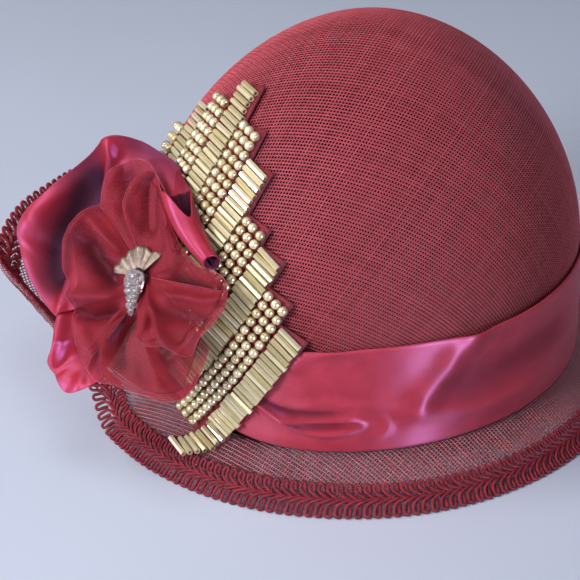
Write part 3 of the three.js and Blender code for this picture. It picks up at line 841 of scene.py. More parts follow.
@dataclass(frozen=True)
class Weave:
    """Plain weave of two sets of flat strands that pass over and under each other."""

    SLUBS: ClassVar[tuple] = (0.08, 0.05)
    SLUB_LIMITS: ClassVar[tuple] = (0.6, 1.5)
    TINTS: ClassVar[tuple] = (0.1, 0.05)

    warp: StrandFamily
    weft: StrandFamily
    rise: float
    depth: float
    level: float
    unevenness: float
    seed: int

    def spots(self, reach: float, draw: np.random.Generator) -> Array:
        """Find where the strands cross on the flat cloth.

        Args:
            reach: How far the cloth goes from its middle.
            draw: Source of small shifts from even spacing.

        Returns:
            A grid of flat places, by warp and weft strand.
        """
        offsets = []
        for family in (self.warp, self.weft):
            count = int(math.ceil(reach / family.pitch))
            even = np.arange(-count, count + 1) * family.pitch
            offsets.append(even + draw.normal(0, self.unevenness * family.pitch, len(even)))
        first, second = np.meshgrid(*offsets, indexing="ij")
        one, two = self.warp.normal(), self.weft.normal()
        turn = one[0] * two[1] - one[1] * two[0]
        return np.stack([first * two[1] - second * one[1], second * one[0] - first * two[0]], axis=-1) / turn

    def add(
            self, node: str, finish: StrawFinish, reach: float, keep: Callable, place: Callable,
            lots: int) -> list[Piece]:
        """Weave the strands and add them.

        Args:
            node: CAD node that they stand for.
            finish: Their finish.
            reach: How far the cloth goes from its middle.
            keep: Says which flat places are on the cloth.
            place: Takes flat places and heights to points.
            lots: How many pieces each set of strands is dealt into.

        Returns:
            The pieces.
        """
        straw = finish.material()
        draw = np.random.default_rng(self.seed)
        spots = self.spots(reach, draw)
        kept = keep(spots)
        turns = np.indices(kept.shape).sum(axis=0) % 2 * 2 - 1
        woven = []
        for name, family, grid, on, over in (
                ("warp", self.warp, spots, kept, turns),
                ("weft", self.weft, spots.transpose(1, 0, 2), kept.T, -turns.T)):
            lot = np.cumsum(on.sum(axis=1)) * lots // (on.sum() + 1)
            for number in range(lots):
                dealt = on & (lot == number)[:, None]
                shell, tints = self.family(family, grid, dealt, over, place, draw)
                piece = add_piece(f"{node}_{name}_{number + 1}", shell, straw, tint=tints)
                woven.append(declare(piece, Slot.STRAW, node))
        return woven

    def family(
            self, family: StrandFamily, spots: Array, kept: Array, turns: Array,
            place: Callable, draw: np.random.Generator) -> tuple[Shell, Array]:
        """Make one set of strands, each a three-sided strip along the second axis of its grid.

        Args:
            family: The set of strands.
            spots: Flat places of the crossings.
            kept: Which of them are on the cloth.
            turns: Whether the strand is above or below at each crossing.
            place: Takes flat places and heights to points.
            draw: Source of slubs and tints.

        Returns:
            The shell and the tints of its points.
        """
        near = np.zeros_like(kept)
        near[:, 1:] |= kept[:, :-1]
        near[:, :-1] |= kept[:, 1:]
        kept = kept & near

        def uneven(middle: float, strand: float, spot: float) -> Array:
            """Draw numbers that differ from strand to strand and from spot to spot."""
            return draw.normal(middle, strand, (len(kept), 1)) + draw.normal(0, spot, kept.shape)

        slubs = np.clip(uneven(1, *self.SLUBS), *self.SLUB_LIMITS)
        tints = np.clip(uneven(0.5, *self.TINTS), 0, 1)
        number = np.full(kept.shape, -1)
        number[kept] = np.arange(int(kept.sum()))
        half = (family.width / 2 * slubs)[kept][:, None] * family.normal()
        centre = spots[kept]
        height = self.level + self.rise * turns[kept]
        points = np.stack([
            place(centre - half, height - self.depth / 2), place(centre + half, height - self.depth / 2),
            place(centre, height + self.depth / 2)], axis=1).reshape(-1, 3)
        pairs = kept[:, :-1] & kept[:, 1:]
        one, two = 3 * number[:, :-1][pairs], 3 * number[:, 1:][pairs]
        sides = np.concatenate([
            np.stack([one, one + 1, two + 1, two], axis=1),
            np.stack([one + 1, one + 2, two + 2, two + 1], axis=1),
            np.stack([one, two, two + 2, one + 2], axis=1)])
        before, after = np.zeros_like(kept), np.zeros_like(kept)
        before[:, 1:] = kept[:, :-1]
        after[:, :-1] = kept[:, 1:]
        first, last = 3 * number[kept & ~before], 3 * number[kept & ~after]
        ends = np.concatenate([
            np.stack([first, first + 2, first + 1], axis=1), np.stack([last, last + 1, last + 2], axis=1)])
        return Shell(points, [sides, ends]).facing_out(), np.repeat(tints[kept], 3)


@dataclass
class Crown:
    """Domed crown of woven straw over a thin inner layer, whose very deep colour is partly painted shade for
    the pinholes.
    """

    length: float = 194.0
    width: float = 173.0
    base: float = 17.0
    dome_start: float = 64.0
    top: float = 163.5
    power: float = 1.84
    inner_wall: float = 0.35
    inner_level: float = -1.05
    woven_foot: float = 59.8
    woven_reach: float = 212.0
    cloth_azimuth: float = 5.6
    cloth_lift: float = 55.5
    ring_steps: int = 96
    profile_steps: int = 32
    profile_samples: int = 1500
    top_hole: float = 0.4
    weave: Weave = Weave(
        warp=StrandFamily(heading=33.6, pitch=1.45, width=0.7),
        weft=StrandFamily(heading=110.1, pitch=1.22, width=0.56),
        rise=0.09, depth=0.2, level=-0.45, unevenness=0.02, seed=11)
    straw: StrawFinish = StrawFinish("crown_straw", colour(152, 50, 58), colour(211, 98, 108))
    # The straw's real inner layer, coloured far deeper than the strands: painted shade seen through the
    # pinholes
    inner: PlainFinish = PlainFinish("crown_inner_straw_painted_shade", colour(50, 4, 10), colour(72, 9, 16), gloss=0.0)

    def __post_init__(self) -> None:
        """Work out the oval and the lengths along the profile from the top."""
        self.mean = (self.length + self.width) / 4
        self.oval = np.array([self.width / 2 / self.mean, self.length / 2 / self.mean])
        self.rise = self.top - self.dome_start
        turn = np.linspace(math.pi / 2, 0, self.profile_samples)
        radius = self.mean * np.cos(turn) ** (2 / self.power)
        height = self.dome_start + self.rise * np.sin(turn) ** (2 / self.power)
        self.profile_radius = np.append(radius, self.mean)
        self.profile_height = np.append(height, self.base)
        steps = np.hypot(np.diff(self.profile_radius), np.diff(self.profile_height))
        self.profile_length = np.append(0, np.cumsum(steps))

    def radius(self, height: Array) -> Array:
        """Give the mean radius of the outer face at heights."""
        rise = np.clip((np.asarray(height) - self.dome_start) / self.rise, 0, 1)
        return self.mean * (1 - rise**self.power) ** (1 / self.power)

    def face(self, azimuth: Array, radius: Array, height: Array, offset: Array) -> Array:
        """Move out from points of the outer face.

        Args:
            azimuth: Azimuths in degrees.
            radius, height: Mean radii and heights on the face.
            offset: Distances along the face's own normal.

        Returns:
            The points.
        """
        azimuth, radius, height, offset = matched(azimuth, radius, height, offset)
        level = level_way(azimuth)
        outward = (radius / self.mean) ** (self.power - 1) / self.mean
        upward = np.maximum((height - self.dome_start) / self.rise, 0) ** (self.power - 1) / self.rise
        normal = np.concatenate([outward[..., None] * level / self.oval, upward[..., None]], axis=-1)
        foot = np.concatenate([radius[..., None] * level * self.oval, height[..., None]], axis=-1)
        return foot + unit(normal) * offset[..., None]

    def point(self, azimuth: Array, height: Array, offset: Array) -> Array:
        """Give points on the outer face, moved out along its normal."""
        return self.face(azimuth, self.radius(height), height, offset)

    def stand_off(self, points: Array) -> Array:
        """Measure how far points lie outside the outer face, level."""
        return np.linalg.norm(points[..., :2] / self.oval, axis=-1) - self.radius(points[..., 2])

    def reached(self, aim: Array) -> tuple[Array, Array, Array]:
        """Find where directions from the dome's centre meet the outer face.

        Args:
            aim: Unit directions.

        Returns:
            Azimuths, mean radii and heights on the face.
        """
        level, climb = aim[..., :2] / self.oval, aim[..., 2]
        spread = np.linalg.norm(level, axis=-1)
        outward, upward = spread / self.mean, np.maximum(climb, 0) / self.rise
        reach = (outward**self.power + upward**self.power) ** (-1 / self.power)
        return bearing(level), reach * spread, self.dome_start + reach * climb

    def on_dome(self, spots: Array) -> tuple[Array, Array, Array]:
        """Lay flat places over the dome, outwards from the middle of the cloth.

        Args:
            spots: Places on the flat cloth.

        Returns:
            Their azimuths, mean radii and heights on the outer face.
        """
        middle = toward(self.cloth_azimuth, self.cloth_lift)
        across = toward(self.cloth_azimuth + FULL_TURN / 4, 0)
        along = np.linalg.norm(spots, axis=-1, keepdims=True)
        heading = unit(spots)
        swing = heading[..., :1] * across + heading[..., 1:] * np.cross(middle, across)
        return self.reached(np.cos(along / self.mean) * middle + np.sin(along / self.mean) * swing)

    def from_flat(self, spots: Array, height: Array) -> Array:
        """Take flat places of the cloth, and heights above it, to the hat."""
        return self.face(*self.on_dome(spots), height)

    def keep(self, spots: Array) -> Array:
        """Say which flat places are on the crown, down to behind the band."""
        return self.on_dome(spots)[2] > self.woven_foot

    def build(self) -> None:
        """Weave the crown and lay its inner layer."""
        kept = self.weave.add("crown", self.straw, self.woven_reach, self.keep, self.from_flat, 2)
        length = np.linspace(self.top_hole, self.profile_length[-1], self.profile_steps)
        radius = np.interp(length, self.profile_length, self.profile_radius)[:, None]
        height = np.interp(length, self.profile_length, self.profile_height)[:, None]
        azimuth = np.arange(self.ring_steps) / self.ring_steps * FULL_TURN
        front = self.face(azimuth, radius, height, self.inner_level)
        back = self.face(azimuth, radius, height, self.inner_level - self.inner_wall)
        size = (2 * math.pi * self.mean, float(length[-1]))
        layer = add_piece("crown_inner_layer", shell_between(front, back, True, size), self.inner.material())
        declare(layer, Slot.STRAW, "crown")
        area = cloth_area(np.concatenate([front, front[:, :1]], axis=1)) * MM**2


@dataclass
class Brim:
    """Woven mesh brim, low on one side and turned up into a wing on the other."""

    crown: Crown
    root_drop: float = 1.2
    wall: float = 1.2
    inset: float = 6.8
    wing_cover: float = 5.0
    wing_lift: float = 40.0
    settle: float = 2.2
    samples: int = 33
    tuck: float = 2.0
    weave: Weave = Weave(
        warp=StrandFamily(heading=97.0, pitch=1.55, width=0.64),
        weft=StrandFamily(heading=9.0, pitch=1.18, width=0.48),
        rise=0.09, depth=0.2, level=0.0, unevenness=0.03, seed=23)
    straw: StrawFinish = StrawFinish("brim_straw", colour(150, 62, 70), colour(218, 142, 148))
    # Azimuth, mean radius and height of the rim, and sag of the section
    edge: RoundTable = RoundTable([
        (0, 116, 0, -1), (45, 116, 0, -1), (90, 115, 0, -1), (118, 116, 0, 0), (132, 118, 6, 3),
        (147, 121, 20, 8), (162, 125, 38, 14), (176, 129, 55, 19), (190, 133, 70, 22),
        (203, 138, 79, 23), (213, 144, 80, 23), (220, 154, 74, 23), (226, 157, 62, 21),
        (231, 143, 49, 17), (236, 129, 34, 12), (240, 122, 21, 8), (244, 118, 11, 4),
        (248, 116, 4, 1), (252, 114, 0, 0), (260, 112, 0, -1), (280, 110.5, 0, -1),
        (310, 112, 0, -1), (335, 115, 0, -1)])

    def section(self, azimuth: Array) -> tuple[Array, Array, Array]:
        """Give the curve of the brim's section.

        Args:
            azimuth: Azimuths in degrees.

        Returns:
            Its root, control point and rim, each as mean radius and height.
        """
        reach, lift, sag = np.moveaxis(self.edge.at(azimuth), -1, 0)
        root = np.stack(matched(self.crown.mean, self.crown.base - self.root_drop, reach)[:2], axis=-1)
        rim = np.stack([reach, np.maximum(lift, 0) - self.settle], axis=-1)
        middle = (root + rim) / 2
        middle[..., 1] -= sag
        return root, middle, rim

    def lengths(self, azimuth: Array) -> tuple[Array, tuple]:
        """Measure the section from its root.

        Args:
            azimuth: Azimuths in degrees.

        Returns:
            Lengths at even steps of the curve, and the curve.
        """
        curve = self.section(azimuth)
        step = np.linspace(0, 1, self.samples)[:, None]
        line = bent(step, *(corner[..., None, :] for corner in curve))
        length = np.cumsum(np.linalg.norm(np.diff(line, axis=-2), axis=-1), axis=-1)
        return np.concatenate([np.zeros_like(length[..., :1]), length], axis=-1), curve

    def length(self, azimuth: Array) -> Array:
        """Measure the whole section at azimuths."""
        return self.lengths(azimuth)[0][..., -1]

    def point(self, azimuth: Array, from_edge: Array, offset: Array) -> Array:
        """Give points at distances in from the outer line, off the middle face.

        Args:
            azimuth: Azimuths in degrees.
            from_edge: Distances in from the outer line.
            offset: Distances above the middle face.

        Returns:
            The points.
        """
        azimuth, from_edge, offset = matched(azimuth, from_edge, offset)
        lengths, curve = self.lengths(azimuth)
        wanted = np.maximum(lengths[..., -1] - from_edge, 0)
        index = np.clip((lengths <= wanted[..., None]).sum(axis=-1) - 1, 0, self.samples - 2)[..., None]
        low = np.take_along_axis(lengths, index, axis=-1)
        high = np.take_along_axis(lengths, index + 1, axis=-1)
        step = (index + (wanted[..., None] - low) / (high - low)) / (self.samples - 1)
        place, tangent = bent(step, *curve), unit(bent_way(step, *curve))
        tucked = np.minimum(lengths[..., -1] - from_edge, 0)
        radius = place[..., 0] + tucked - tangent[..., 1] * offset
        height = place[..., 1] + tangent[..., 0] * offset
        level = level_way(azimuth) * self.crown.oval
        return np.concatenate([radius[..., None] * level, height[..., None]], axis=-1)

    def way_out(self, spots: Array) -> tuple[Array, Array]:
        """Give the azimuths of flat places and their distances from the crown's foot."""
        return bearing(spots), np.linalg.norm(spots, axis=-1) - self.crown.mean

    def from_flat(self, spots: Array, height: Array) -> Array:
        """Take flat places round the crown's foot to the brim."""
        azimuth, out = self.way_out(spots)
        return self.point(azimuth, self.length(azimuth) - out, height)

    def keep(self, spots: Array) -> Array:
        """Say which flat places lie between the crown's foot and the braid."""
        azimuth, out = self.way_out(spots)
        near = out > -self.tuck
        kept = np.zeros_like(near)
        turned_up = np.clip(self.edge.at(azimuth[near])[..., 1] / self.wing_lift, 0, 1)
        kept[near] = out[near] < self.length(azimuth[near]) - self.inset + self.wing_cover * turned_up
        return kept

    def build(self) -> None:
        """Weave the brim."""
        reach = self.crown.mean + float(self.length(np.arange(FULL_TURN)).max())
        self.weave.add("brim", self.straw, reach, self.keep, self.from_flat, 1)


@dataclass
class EdgeBraid:
    """Gimp braid: cord loops to both sides of a spine, sewn round the brim's edge."""

    brim: Brim
    width: float = 15.0
    gap: float = 0.7
    cord: float = 0.72
    sides: int = 5
    loops: int = 212
    pitch: float = 4.0
    eye_steps: int = 5
    samples: int = 2881
    core_stride: int = 4
    core_shift: float = 0.1
    # Places along the braid, in from its edge, and above its underside
    outer_leg: tuple = (
        (7.0, 8.2, 0.7), (5.0, 7.9, 1.2), (3.0, 7.2, 1.5), (1.2, 6.4, 1.5), (0.2, 5.4, 1.4),
        (-0.2, 4.2, 1.2), (-0.2, 2.6, 1.1))
    outer_eye: tuple = (0.85, 1.8, 1.05, 1.1)
    outer_return: tuple = ((1.95, 3.4, 1.0), (2.0, 4.8, 0.8), (2.2, 5.9, 0.6))
    inner_leg: tuple = (
        (6.5, 7.4, 0.6), (4.6, 8.3, 1.1), (2.6, 9.3, 1.5), (1.0, 10.3, 1.4), (0.0, 11.3, 1.2),
        (-0.2, 12.3, 1.1))
    inner_eye: tuple = (0.85, 13.1, 1.05, 1.1)
    inner_return: tuple = ((1.9, 12.1, 1.0), (2.0, 10.9, 0.7))
    finish: CordFinish = CordFinish()

    def loop(self, leg: tuple, eye: tuple, back: tuple, outward: int) -> Array:
        """Join a leg, the round end of a loop and its return.

        Args:
            leg, back: Places along the braid, in from its edge, and above its underside.
            eye: Centre, radius and height of the round end.
            outward: -1 where the loop points out, 1 where it points in.

        Returns:
            The places on the loop.
        """
        turn = np.linspace(math.pi, 0, self.eye_steps)
        round_end = np.stack([
            eye[0] + eye[2] * np.cos(turn), eye[1] + outward * eye[2] * np.sin(turn),
            np.full(self.eye_steps, eye[3])], axis=1)
        return np.concatenate([np.array(leg), round_end, np.array(back)])

    def build(self) -> None:
        """Lay the loops and their core round the brim."""
        azimuth = np.linspace(0, FULL_TURN, self.samples)
        line = self.brim.point(azimuth, self.width / 2, 0)
        run = np.append(0, np.cumsum(np.linalg.norm(np.diff(line, axis=0), axis=1)))
        step = run[-1] / self.loops
        underside = self.brim.wall / 2 + self.gap
        starts = np.arange(self.loops)[:, None] * step
        points, edges, count = [], [], 0
        for loop in (
                self.loop(self.outer_leg, self.outer_eye, self.outer_return, -1),
                self.loop(self.inner_leg, self.inner_eye, self.inner_return, 1)):
            along = np.mod(starts + loop[:, 0] * step / self.pitch, run[-1])
            turned = np.interp(along, run, azimuth)
            laid = self.brim.point(turned, np.broadcast_to(loop[:, 1], along.shape), underside + loop[:, 2])
            number = count + np.arange(along.size).reshape(along.shape)
            points.append(laid.reshape(-1, 3))
            edges.append(np.stack([number[:, :-1].ravel(), number[:, 1:].ravel()], axis=1))
            count += along.size
        core = azimuth[:-1:self.core_stride]
        number = count + np.arange(len(core))
        inward = self.width / 2 + self.core_shift
        points.append(self.brim.point(core, inward, underside + self.cord))
        edges.append(np.stack([number, np.roll(number, -1)], axis=1))
        laid = np.concatenate(points)
        laid[:, 2] = np.maximum(laid[:, 2], self.cord)
        rig = cord_rig("gimp_cords", self.cord, self.sides, self.finish.material())
        declare(rig.make("gimp_braid", laid, np.concatenate(edges)), Slot.BRAID, "edge_braid")


@dataclass
class HatBand:
    """Satin band round the foot of the crown, gathered towards the beads."""

    crown: Crown
    gap: float = 0.4
    thickness: float = 1.0
    cloth: float = 0.5
    close_step: float = 0.5
    wide_step: float = 2.0
    close_from: float = 275.0
    close_to: float = 360.0
    rows: int = 60
    fold_share: float = 0.45
    deepest: float = -0.8
    # Depth of a band furrow that gets the full painted shade
    painted_shade_depth: float = 2.0
    flare: float = 1.8
    flare_at: float = 354.0
    flare_run: float = 24.0
    flare_power: int = 4
    hem: float = 0.9
    # Painted light: the petals' satin as a lighter copy, because the band faces the lights while the petals
    # lie more in shade; its gloss differs too.
    finish: SatinFinish = SatinFinish(
        "band_satin_painted_light", colour(60, 6, 8), colour(176, 47, 60), colour(196, 61, 77), colour(242, 182, 226),
        roughness=0.46, gloss=0.5, stretch=0.9)
    # Azimuth, and heights of the lower and the upper edge
    edges: RoundTable = RoundTable([
        (0, 17.2, 64), (90, 17.2, 64), (130, 18.6, 64), (180, 20, 64), (230, 20, 62), (260, 24, 56),
        (280, 22, 58), (292, 18.6, 61), (305, 17.4, 63), (330, 17.2, 64)])
    # Soft ridges: azimuth, height, length, spread, lift and climb
    folds: tuple = (
        (300, 31, 10, 5, 2.6, -0.3), (302, 22, 11, 4, 2.0, -0.1), (303, 50, 10, 8, 1.5, 0.3),
        (330, 40, 20, 12, 1.2, -0.3), (10, 32, 22, 9, 1.0, 0.2), (75, 44, 25, 10, 1.2, -0.2),
        (140, 34, 24, 9, 1.0, 0.2))
    creases: tuple = (
        Crease(2.6, 2.0, (
            (280, 48), (288, 41.5), (294.1, 36.2), (297.5, 33.2), (300.9, 30.2), (305.8, 27.2), (311.2, 26.6),
            (316, 28), (319, 30.6), (321, 33))),
        Crease(2.0, 1.25, (
            (294, 31.6), (301.5, 31.8), (307.5, 32.4), (312.8, 32.6), (316.5, 31.8), (318.4, 30),
            (317, 27.6))),
        Crease(-1.6, 1.5, (
            (282, 48), (289, 41.5), (293.8, 38), (296.4, 36.4), (299.2, 35.2), (303, 34.6), (310, 34.9),
            (317, 36))),
        Crease(-1.2, 1.4, ((295, 31.4), (302, 30), (305.9, 29.6), (310.2, 29.6), (318, 30.4))),
        Crease(0.7, 2.4, ((299, 38.4), (306, 38.8), (315.4, 39.2), (323.3, 37.2), (332, 35))),
        Crease(0.6, 2.4, (
            (316, 39), (321.2, 35.4), (323.9, 30.8), (323.9, 26.8), (320.2, 24.2), (310, 22.6))),
        Crease(1.6, 3.6, ((297, 50), (302.2, 57.2), (304.3, 60.4), (309.1, 63), (319, 66))),
        Crease(2.4, 6.0, (
            (352, 76), (344.4, 61), (341, 56.6), (338.8, 50.6), (336.1, 45.6), (333.4, 40.6), (330.8, 35.2),
            (325, 28))),
        # Broad furrow on the band's right; its painted shade darkens that side
        Crease(-0.9, 8.0, ((328, 48), (343.1, 42.4), (348.7, 41.4), (354, 42), (361.3, 43), (390, 48))),
        Crease(1.8, 4.0, (
            (320, 35), (331.9, 32.8), (338.7, 31.2), (345.9, 29.6), (353.7, 29), (362.8, 28.8), (380, 26))))

    def lift(self, azimuth: Array, height: Array) -> Array:
        """Give how far the soft ridges stand out.

        Args:
            azimuth: Azimuths in degrees.
            height: Heights above the rest plane.

        Returns:
            The distances.
        """
        total = 0.0
        for middle, level, run, spread, lift, climb in self.folds:
            away = np.mod(azimuth - middle + FULL_TURN / 2, FULL_TURN) - FULL_TURN / 2
            across = (height - level - climb * away) / spread
            total = total + lift * np.exp(-(away / run) ** 2 - across**2)
        return total

    def relief(self, azimuth: Array, height: Array) -> tuple[Array, Array]:
        """Give how far the band's face stands out where it shows.

        Args:
            azimuth: Azimuths from the gathered end round to it again.
            height: Heights above the rest plane.

        Returns:
            The distances, and the painted shade in the furrows.
        """
        spots = np.stack(matched(azimuth, height), axis=-1)
        size = (math.radians(self.crown.mean), 1.0)
        total = self.fold_share * self.lift(azimuth, height)
        lifts = [crease.lift(spots, size) for crease in self.creases]
        # Furrows deeper than the deepest stand-off stop moving the cloth and only deepen the painted shade.
        return np.maximum(total + sum(lifts), self.deepest), painted_furrow_shade(lifts, self.painted_shade_depth)

    def build(self) -> None:
        """Lay the band."""
        azimuth = np.concatenate([
            np.arange(self.close_from, self.close_to, self.close_step),
            np.arange(self.close_to, self.close_from + FULL_TURN, self.wide_step)])
        low, high = np.moveaxis(self.edges.at(azimuth), -1, 0)
        share = np.linspace(0, 1, self.rows)[:, None]
        height = low + (high - low) * share
        relief, shade = self.relief(azimuth, height)
        out = self.gap + self.thickness + relief
        flare = self.flare * np.exp(-((azimuth - self.flare_at) / self.flare_run) ** 2)
        out = out + flare * share**self.flare_power
        edge = np.minimum(height - low, high - height) / self.hem
        out = out - self.cloth * np.clip(1 - edge, 0, 1) ** 2
        front = self.crown.point(azimuth, height, out)
        back = self.crown.point(azimuth, height, out - self.cloth)
        closed = np.concatenate([front, front[:, :1]], axis=1)
        size = (float(line_lengths(closed, 1).mean()), float(line_lengths(closed, 0).max()))
        shell = shell_between(front, back, True, size)
        band = add_piece("satin_band", shell, self.finish.material(), shade=np.tile(shade.ravel(), 2))
        declare(band, Slot.SATIN, "hat_band")
        cloth_area(closed) * MM**2


@dataclass
class BeadPanel:
    """Stripes of bugles and of round beads on strips of backing cloth."""

    crown: Crown
    brim: Brim
    band: HatBand
    pole_azimuth: float = 36.5
    pole_elevation: float = -29.4
    foot: float = 20.0
    gap: float = 0.9
    braid_width: float = 15.0
    stripe: float = 11.6
    backing: float = 0.8
    backing_width: float = 11.3
    backing_clear: float = 0.1
    strip_rows: int = 7
    strip_columns: int = 48
    line_samples: int = 241
    probe: float = 0.6
    bead_sizes: tuple = (0.95, 1.02)
    round_size: float = 4.0
    round_segments: int = 10
    round_rings: int = 8
    round_shift: float = 0.15
    round_pitch: float = 3.9
    round_step: float = 4.05
    bugle_length: float = 10.9
    bugle_size: float = 2.5
    bugle_wall: float = 0.5
    bugle_step: float = 2.62
    bugle_sides: int = 6
    bugle_roll: float = 0.25
    bugle_lean: float = 0.015
    bugle_shift: float = 0.4
    row_plane: tuple = (0.250, 0.762, 0.597)
    hole_depth: float = 0.75
    pole_width: float = 0.1
    margin: float = 0.9
    tuck: float = -3.0
    overlap: float = 6.0
    climb: float = 2.4
    climb_lead: float = 3.0
    climb_run: float = 5.0
    seed: int = 5
    # Kind of bead, latitude, and longitudes of the upper and the lower end
    stripes: tuple = (
        (Bead.BUGLE, -8.7, 1, 45), (Bead.ROUND, -15.5, -5, 40), (Bead.BUGLE, -22.3, -12.5, 36),
        (Bead.ROUND, -29.1, -17, 36), (Bead.BUGLE, -35.9, -30, 34), (Bead.ROUND, -42.7, -40, 31),
        (Bead.BUGLE, -49.5, -55, 27), (Bead.ROUND, -56.3, -50, 20), (Bead.BUGLE, -63.1, -47, 12),
        (Bead.ROUND, -69.9, -33, 0))
    round_finish: GiltFinish = GiltFinish(
        "gilt_rounds", colour(204, 188, 138), colour(240, 230, 192), metallic=0.45, roughness=0.24)
    bugle_finish: GiltFinish = GiltFinish("gilt_bugles", colour(196, 182, 128), colour(238, 230, 190))
    felt: PlainFinish = PlainFinish("bead_backing_cloth", colour(104, 18, 28), colour(156, 36, 50))

    def direction(self, latitude: Array, longitude: Array) -> Array:
        """Give directions about the panel's tilted pole.

        Args:
            latitude, longitude: Angles about the pole, in degrees.

        Returns:
            Unit directions from the dome's centre.
        """
        pole = toward(self.pole_azimuth, self.pole_elevation)
        level = -unit(np.cross([0, 0, 1], pole))
        down = np.cross(pole, level)
        north, east = np.radians(latitude)[..., None], np.radians(longitude)[..., None]
        return np.sin(north) * pole + np.cos(north) * (np.cos(east) * level + np.sin(east) * down)

    def point(self, latitude: Array, longitude: Array, offset: Array) -> Array:
        """Give points off the panel's seat on the crown, the band and the brim's slope.

        Args:
            latitude, longitude: Angles about the pole, in degrees.
            offset: Distances above the seat.

        Returns:
            The points.
        """
        latitude, longitude, offset = matched(latitude, longitude, offset)
        azimuth, _, height = self.crown.reached(self.direction(latitude, longitude))
        over = eased((self.crown.dome_start + self.stripe / 2 - height) / (self.stripe / 2))
        fold = self.band.lift(azimuth, height) + self.band.thickness + self.band.gap
        upper = self.crown.point(azimuth, np.minimum(height, self.crown.top), self.gap + over * fold + offset)
        length = self.brim.length(azimuth)
        room = length - self.braid_width - self.gap
        most = room + self.overlap
        down = most * np.tanh(np.maximum(self.foot - height, 0) / most)
        lift = self.climb * eased((down - room + self.climb_lead) / self.climb_run)
        lower = self.brim.point(azimuth, length - down, self.brim.wall / 2 + self.gap + lift + offset)
        return np.where((height < self.foot)[..., None], lower, upper)

    def degrees(self, length: float) -> float:
        """Turn a length across the stripes into degrees of latitude."""
        return math.degrees(length / self.crown.mean)

    def frames(self, latitude: Array, longitude: Array, offset: float) -> tuple[Array, Array, Array, Array]:
        """Give bead centres with the directions along the bead rows and out of the panel.

        Args:
            latitude, longitude: Angles about the pole, in degrees.
            offset: Height of the centres above the seat.

        Returns:
            Centres, directions along the rows, directions out, and the degrees of latitude and
            longitude for each millimetre along the rows.
        """
        north, east = (
            self.point(latitude + up, longitude + aside, offset)
            - self.point(latitude - up, longitude - aside, offset)
            for up, aside in ((self.probe, 0), (0, self.probe)))
        centre = self.point(latitude, longitude, offset)
        out = unit(np.cross(north, east))
        outward = centre - np.array([0, 0, self.crown.base])
        out = out * np.sign(np.einsum("ij,ij->i", out, outward))[:, None]
        rows = unit(np.cross(out, np.array(self.row_plane)))
        rows = rows * np.sign(np.einsum("ij,ij->i", rows, north))[:, None]
        slopes = np.stack([north, east], axis=1) / (2 * self.probe)
        shift = np.linalg.solve(slopes @ slopes.transpose(0, 2, 1), slopes @ rows[..., None])[..., 0]
        return centre, rows, out, shift

    def longitudes(self, latitude: float, upper: float, lower: float, step: float) -> Array:
        """Space bead rows evenly along a stripe.

        Args:
            latitude: Latitude of the stripe.
            upper, lower: Longitudes of its ends.
            step: Distance from row to row, square to the rows.

        Returns:
            Longitudes of the rows.
        """
        line = np.linspace(upper, lower, self.line_samples)
        centre, rows, _, _ = self.frames(np.full_like(line, latitude), line, self.bugle_size)
        moves = np.linalg.norm(np.cross(np.diff(centre, axis=0), rows[1:]), axis=1)
        run = np.append(0, np.cumsum(moves))
        count = int(run[-1] // step)
        return np.interp((np.arange(count) + 0.5) * run[-1] / count, run, line)

    def bead_rig(self, bead: Bead, finish: Material) -> NodeRig:
        """Make the tree that sets one kind of bead on points.

        Args:
            bead: Kind of bead.
            finish: Its material.

        Returns:
            The tree.
        """
        if bead is Bead.BUGLE:
            rig = NodeRig("bugle_beads", {
                "Bead Radius": (self.bugle_size - self.bugle_wall) / 2 * MM,
                "Bead Wall": self.bugle_wall * MM, "Bead Length": self.bugle_length * MM,
                "Bead Sides": self.bugle_sides, "Seed": self.seed, "Finish": finish})
            ring = rig.circle(rig.source("Bead Sides"), rig.source("Bead Radius"))
            wall = rig.add("GeometryNodeCurvePrimitiveQuadrilateral", {
                "Width": rig.source("Bead Wall"), "Height": rig.source("Bead Length")})
            shape = rig.swept(ring, wall.outputs[0])
        else:
            rig = NodeRig("round_beads", {
                "Bead Radius": self.round_size / 2 * MM, "Bead Segments": self.round_segments,
                "Bead Rings": self.round_rings, "Hole Depth": self.hole_depth,
                "Seed": self.seed + 1, "Finish": finish})
            ball = rig.add("GeometryNodeMeshUVSphere", {
                "Segments": rig.source("Bead Segments"), "Rings": rig.source("Bead Rings"),
                "Radius": rig.source("Bead Radius")})
            parts = rig.add("ShaderNodeSeparateXYZ", {0: rig.add("GeometryNodeInputPosition").outputs[0]})
            aside = rig.add("ShaderNodeCombineXYZ", {0: parts.outputs[0], 1: parts.outputs[1]})
            off_axis = rig.add("ShaderNodeVectorMath", {0: aside.outputs[0]}, operation="LENGTH")
            at_pole = rig.math("LESS_THAN", off_axis.outputs["Value"], self.pole_width * MM)
            depth = rig.math("MULTIPLY", parts.outputs[2], rig.source("Hole Depth"))
            sink = rig.add("ShaderNodeCombineXYZ", {2: rig.math("MULTIPLY", depth, -1.0)})
            shape = rig.add("GeometryNodeSetPosition", {
                "Geometry": ball.outputs["Mesh"], "Selection": at_pole, "Offset": sink.outputs[0]}).outputs[0]
        lengthwise = rig.add("FunctionNodeAlignRotationToVector", {"Vector": rig.vector("rows")}, axis="Z")
        turned = rig.add("FunctionNodeAlignRotationToVector", {
            "Rotation": lengthwise.outputs[0], "Vector": rig.vector("out")}, axis="X", pivot_axis="Z")
        beads = rig.add("GeometryNodeInstanceOnPoints", {
            "Points": rig.source("Geometry"), "Instance": shape, "Rotation": turned.outputs[0],
            "Scale": rig.random(*self.bead_sizes, rig.source("Seed"))})
        tints = {"Geometry": beads.outputs[0], "Name": TINT, "Value": rig.random(0.0, 1.0, self.seed + 2)}
        stored = rig.add("GeometryNodeStoreNamedAttribute", tints, domain="INSTANCE", data_type="FLOAT")
        rig.end(stored.outputs[0], bead is Bead.ROUND)
        return rig

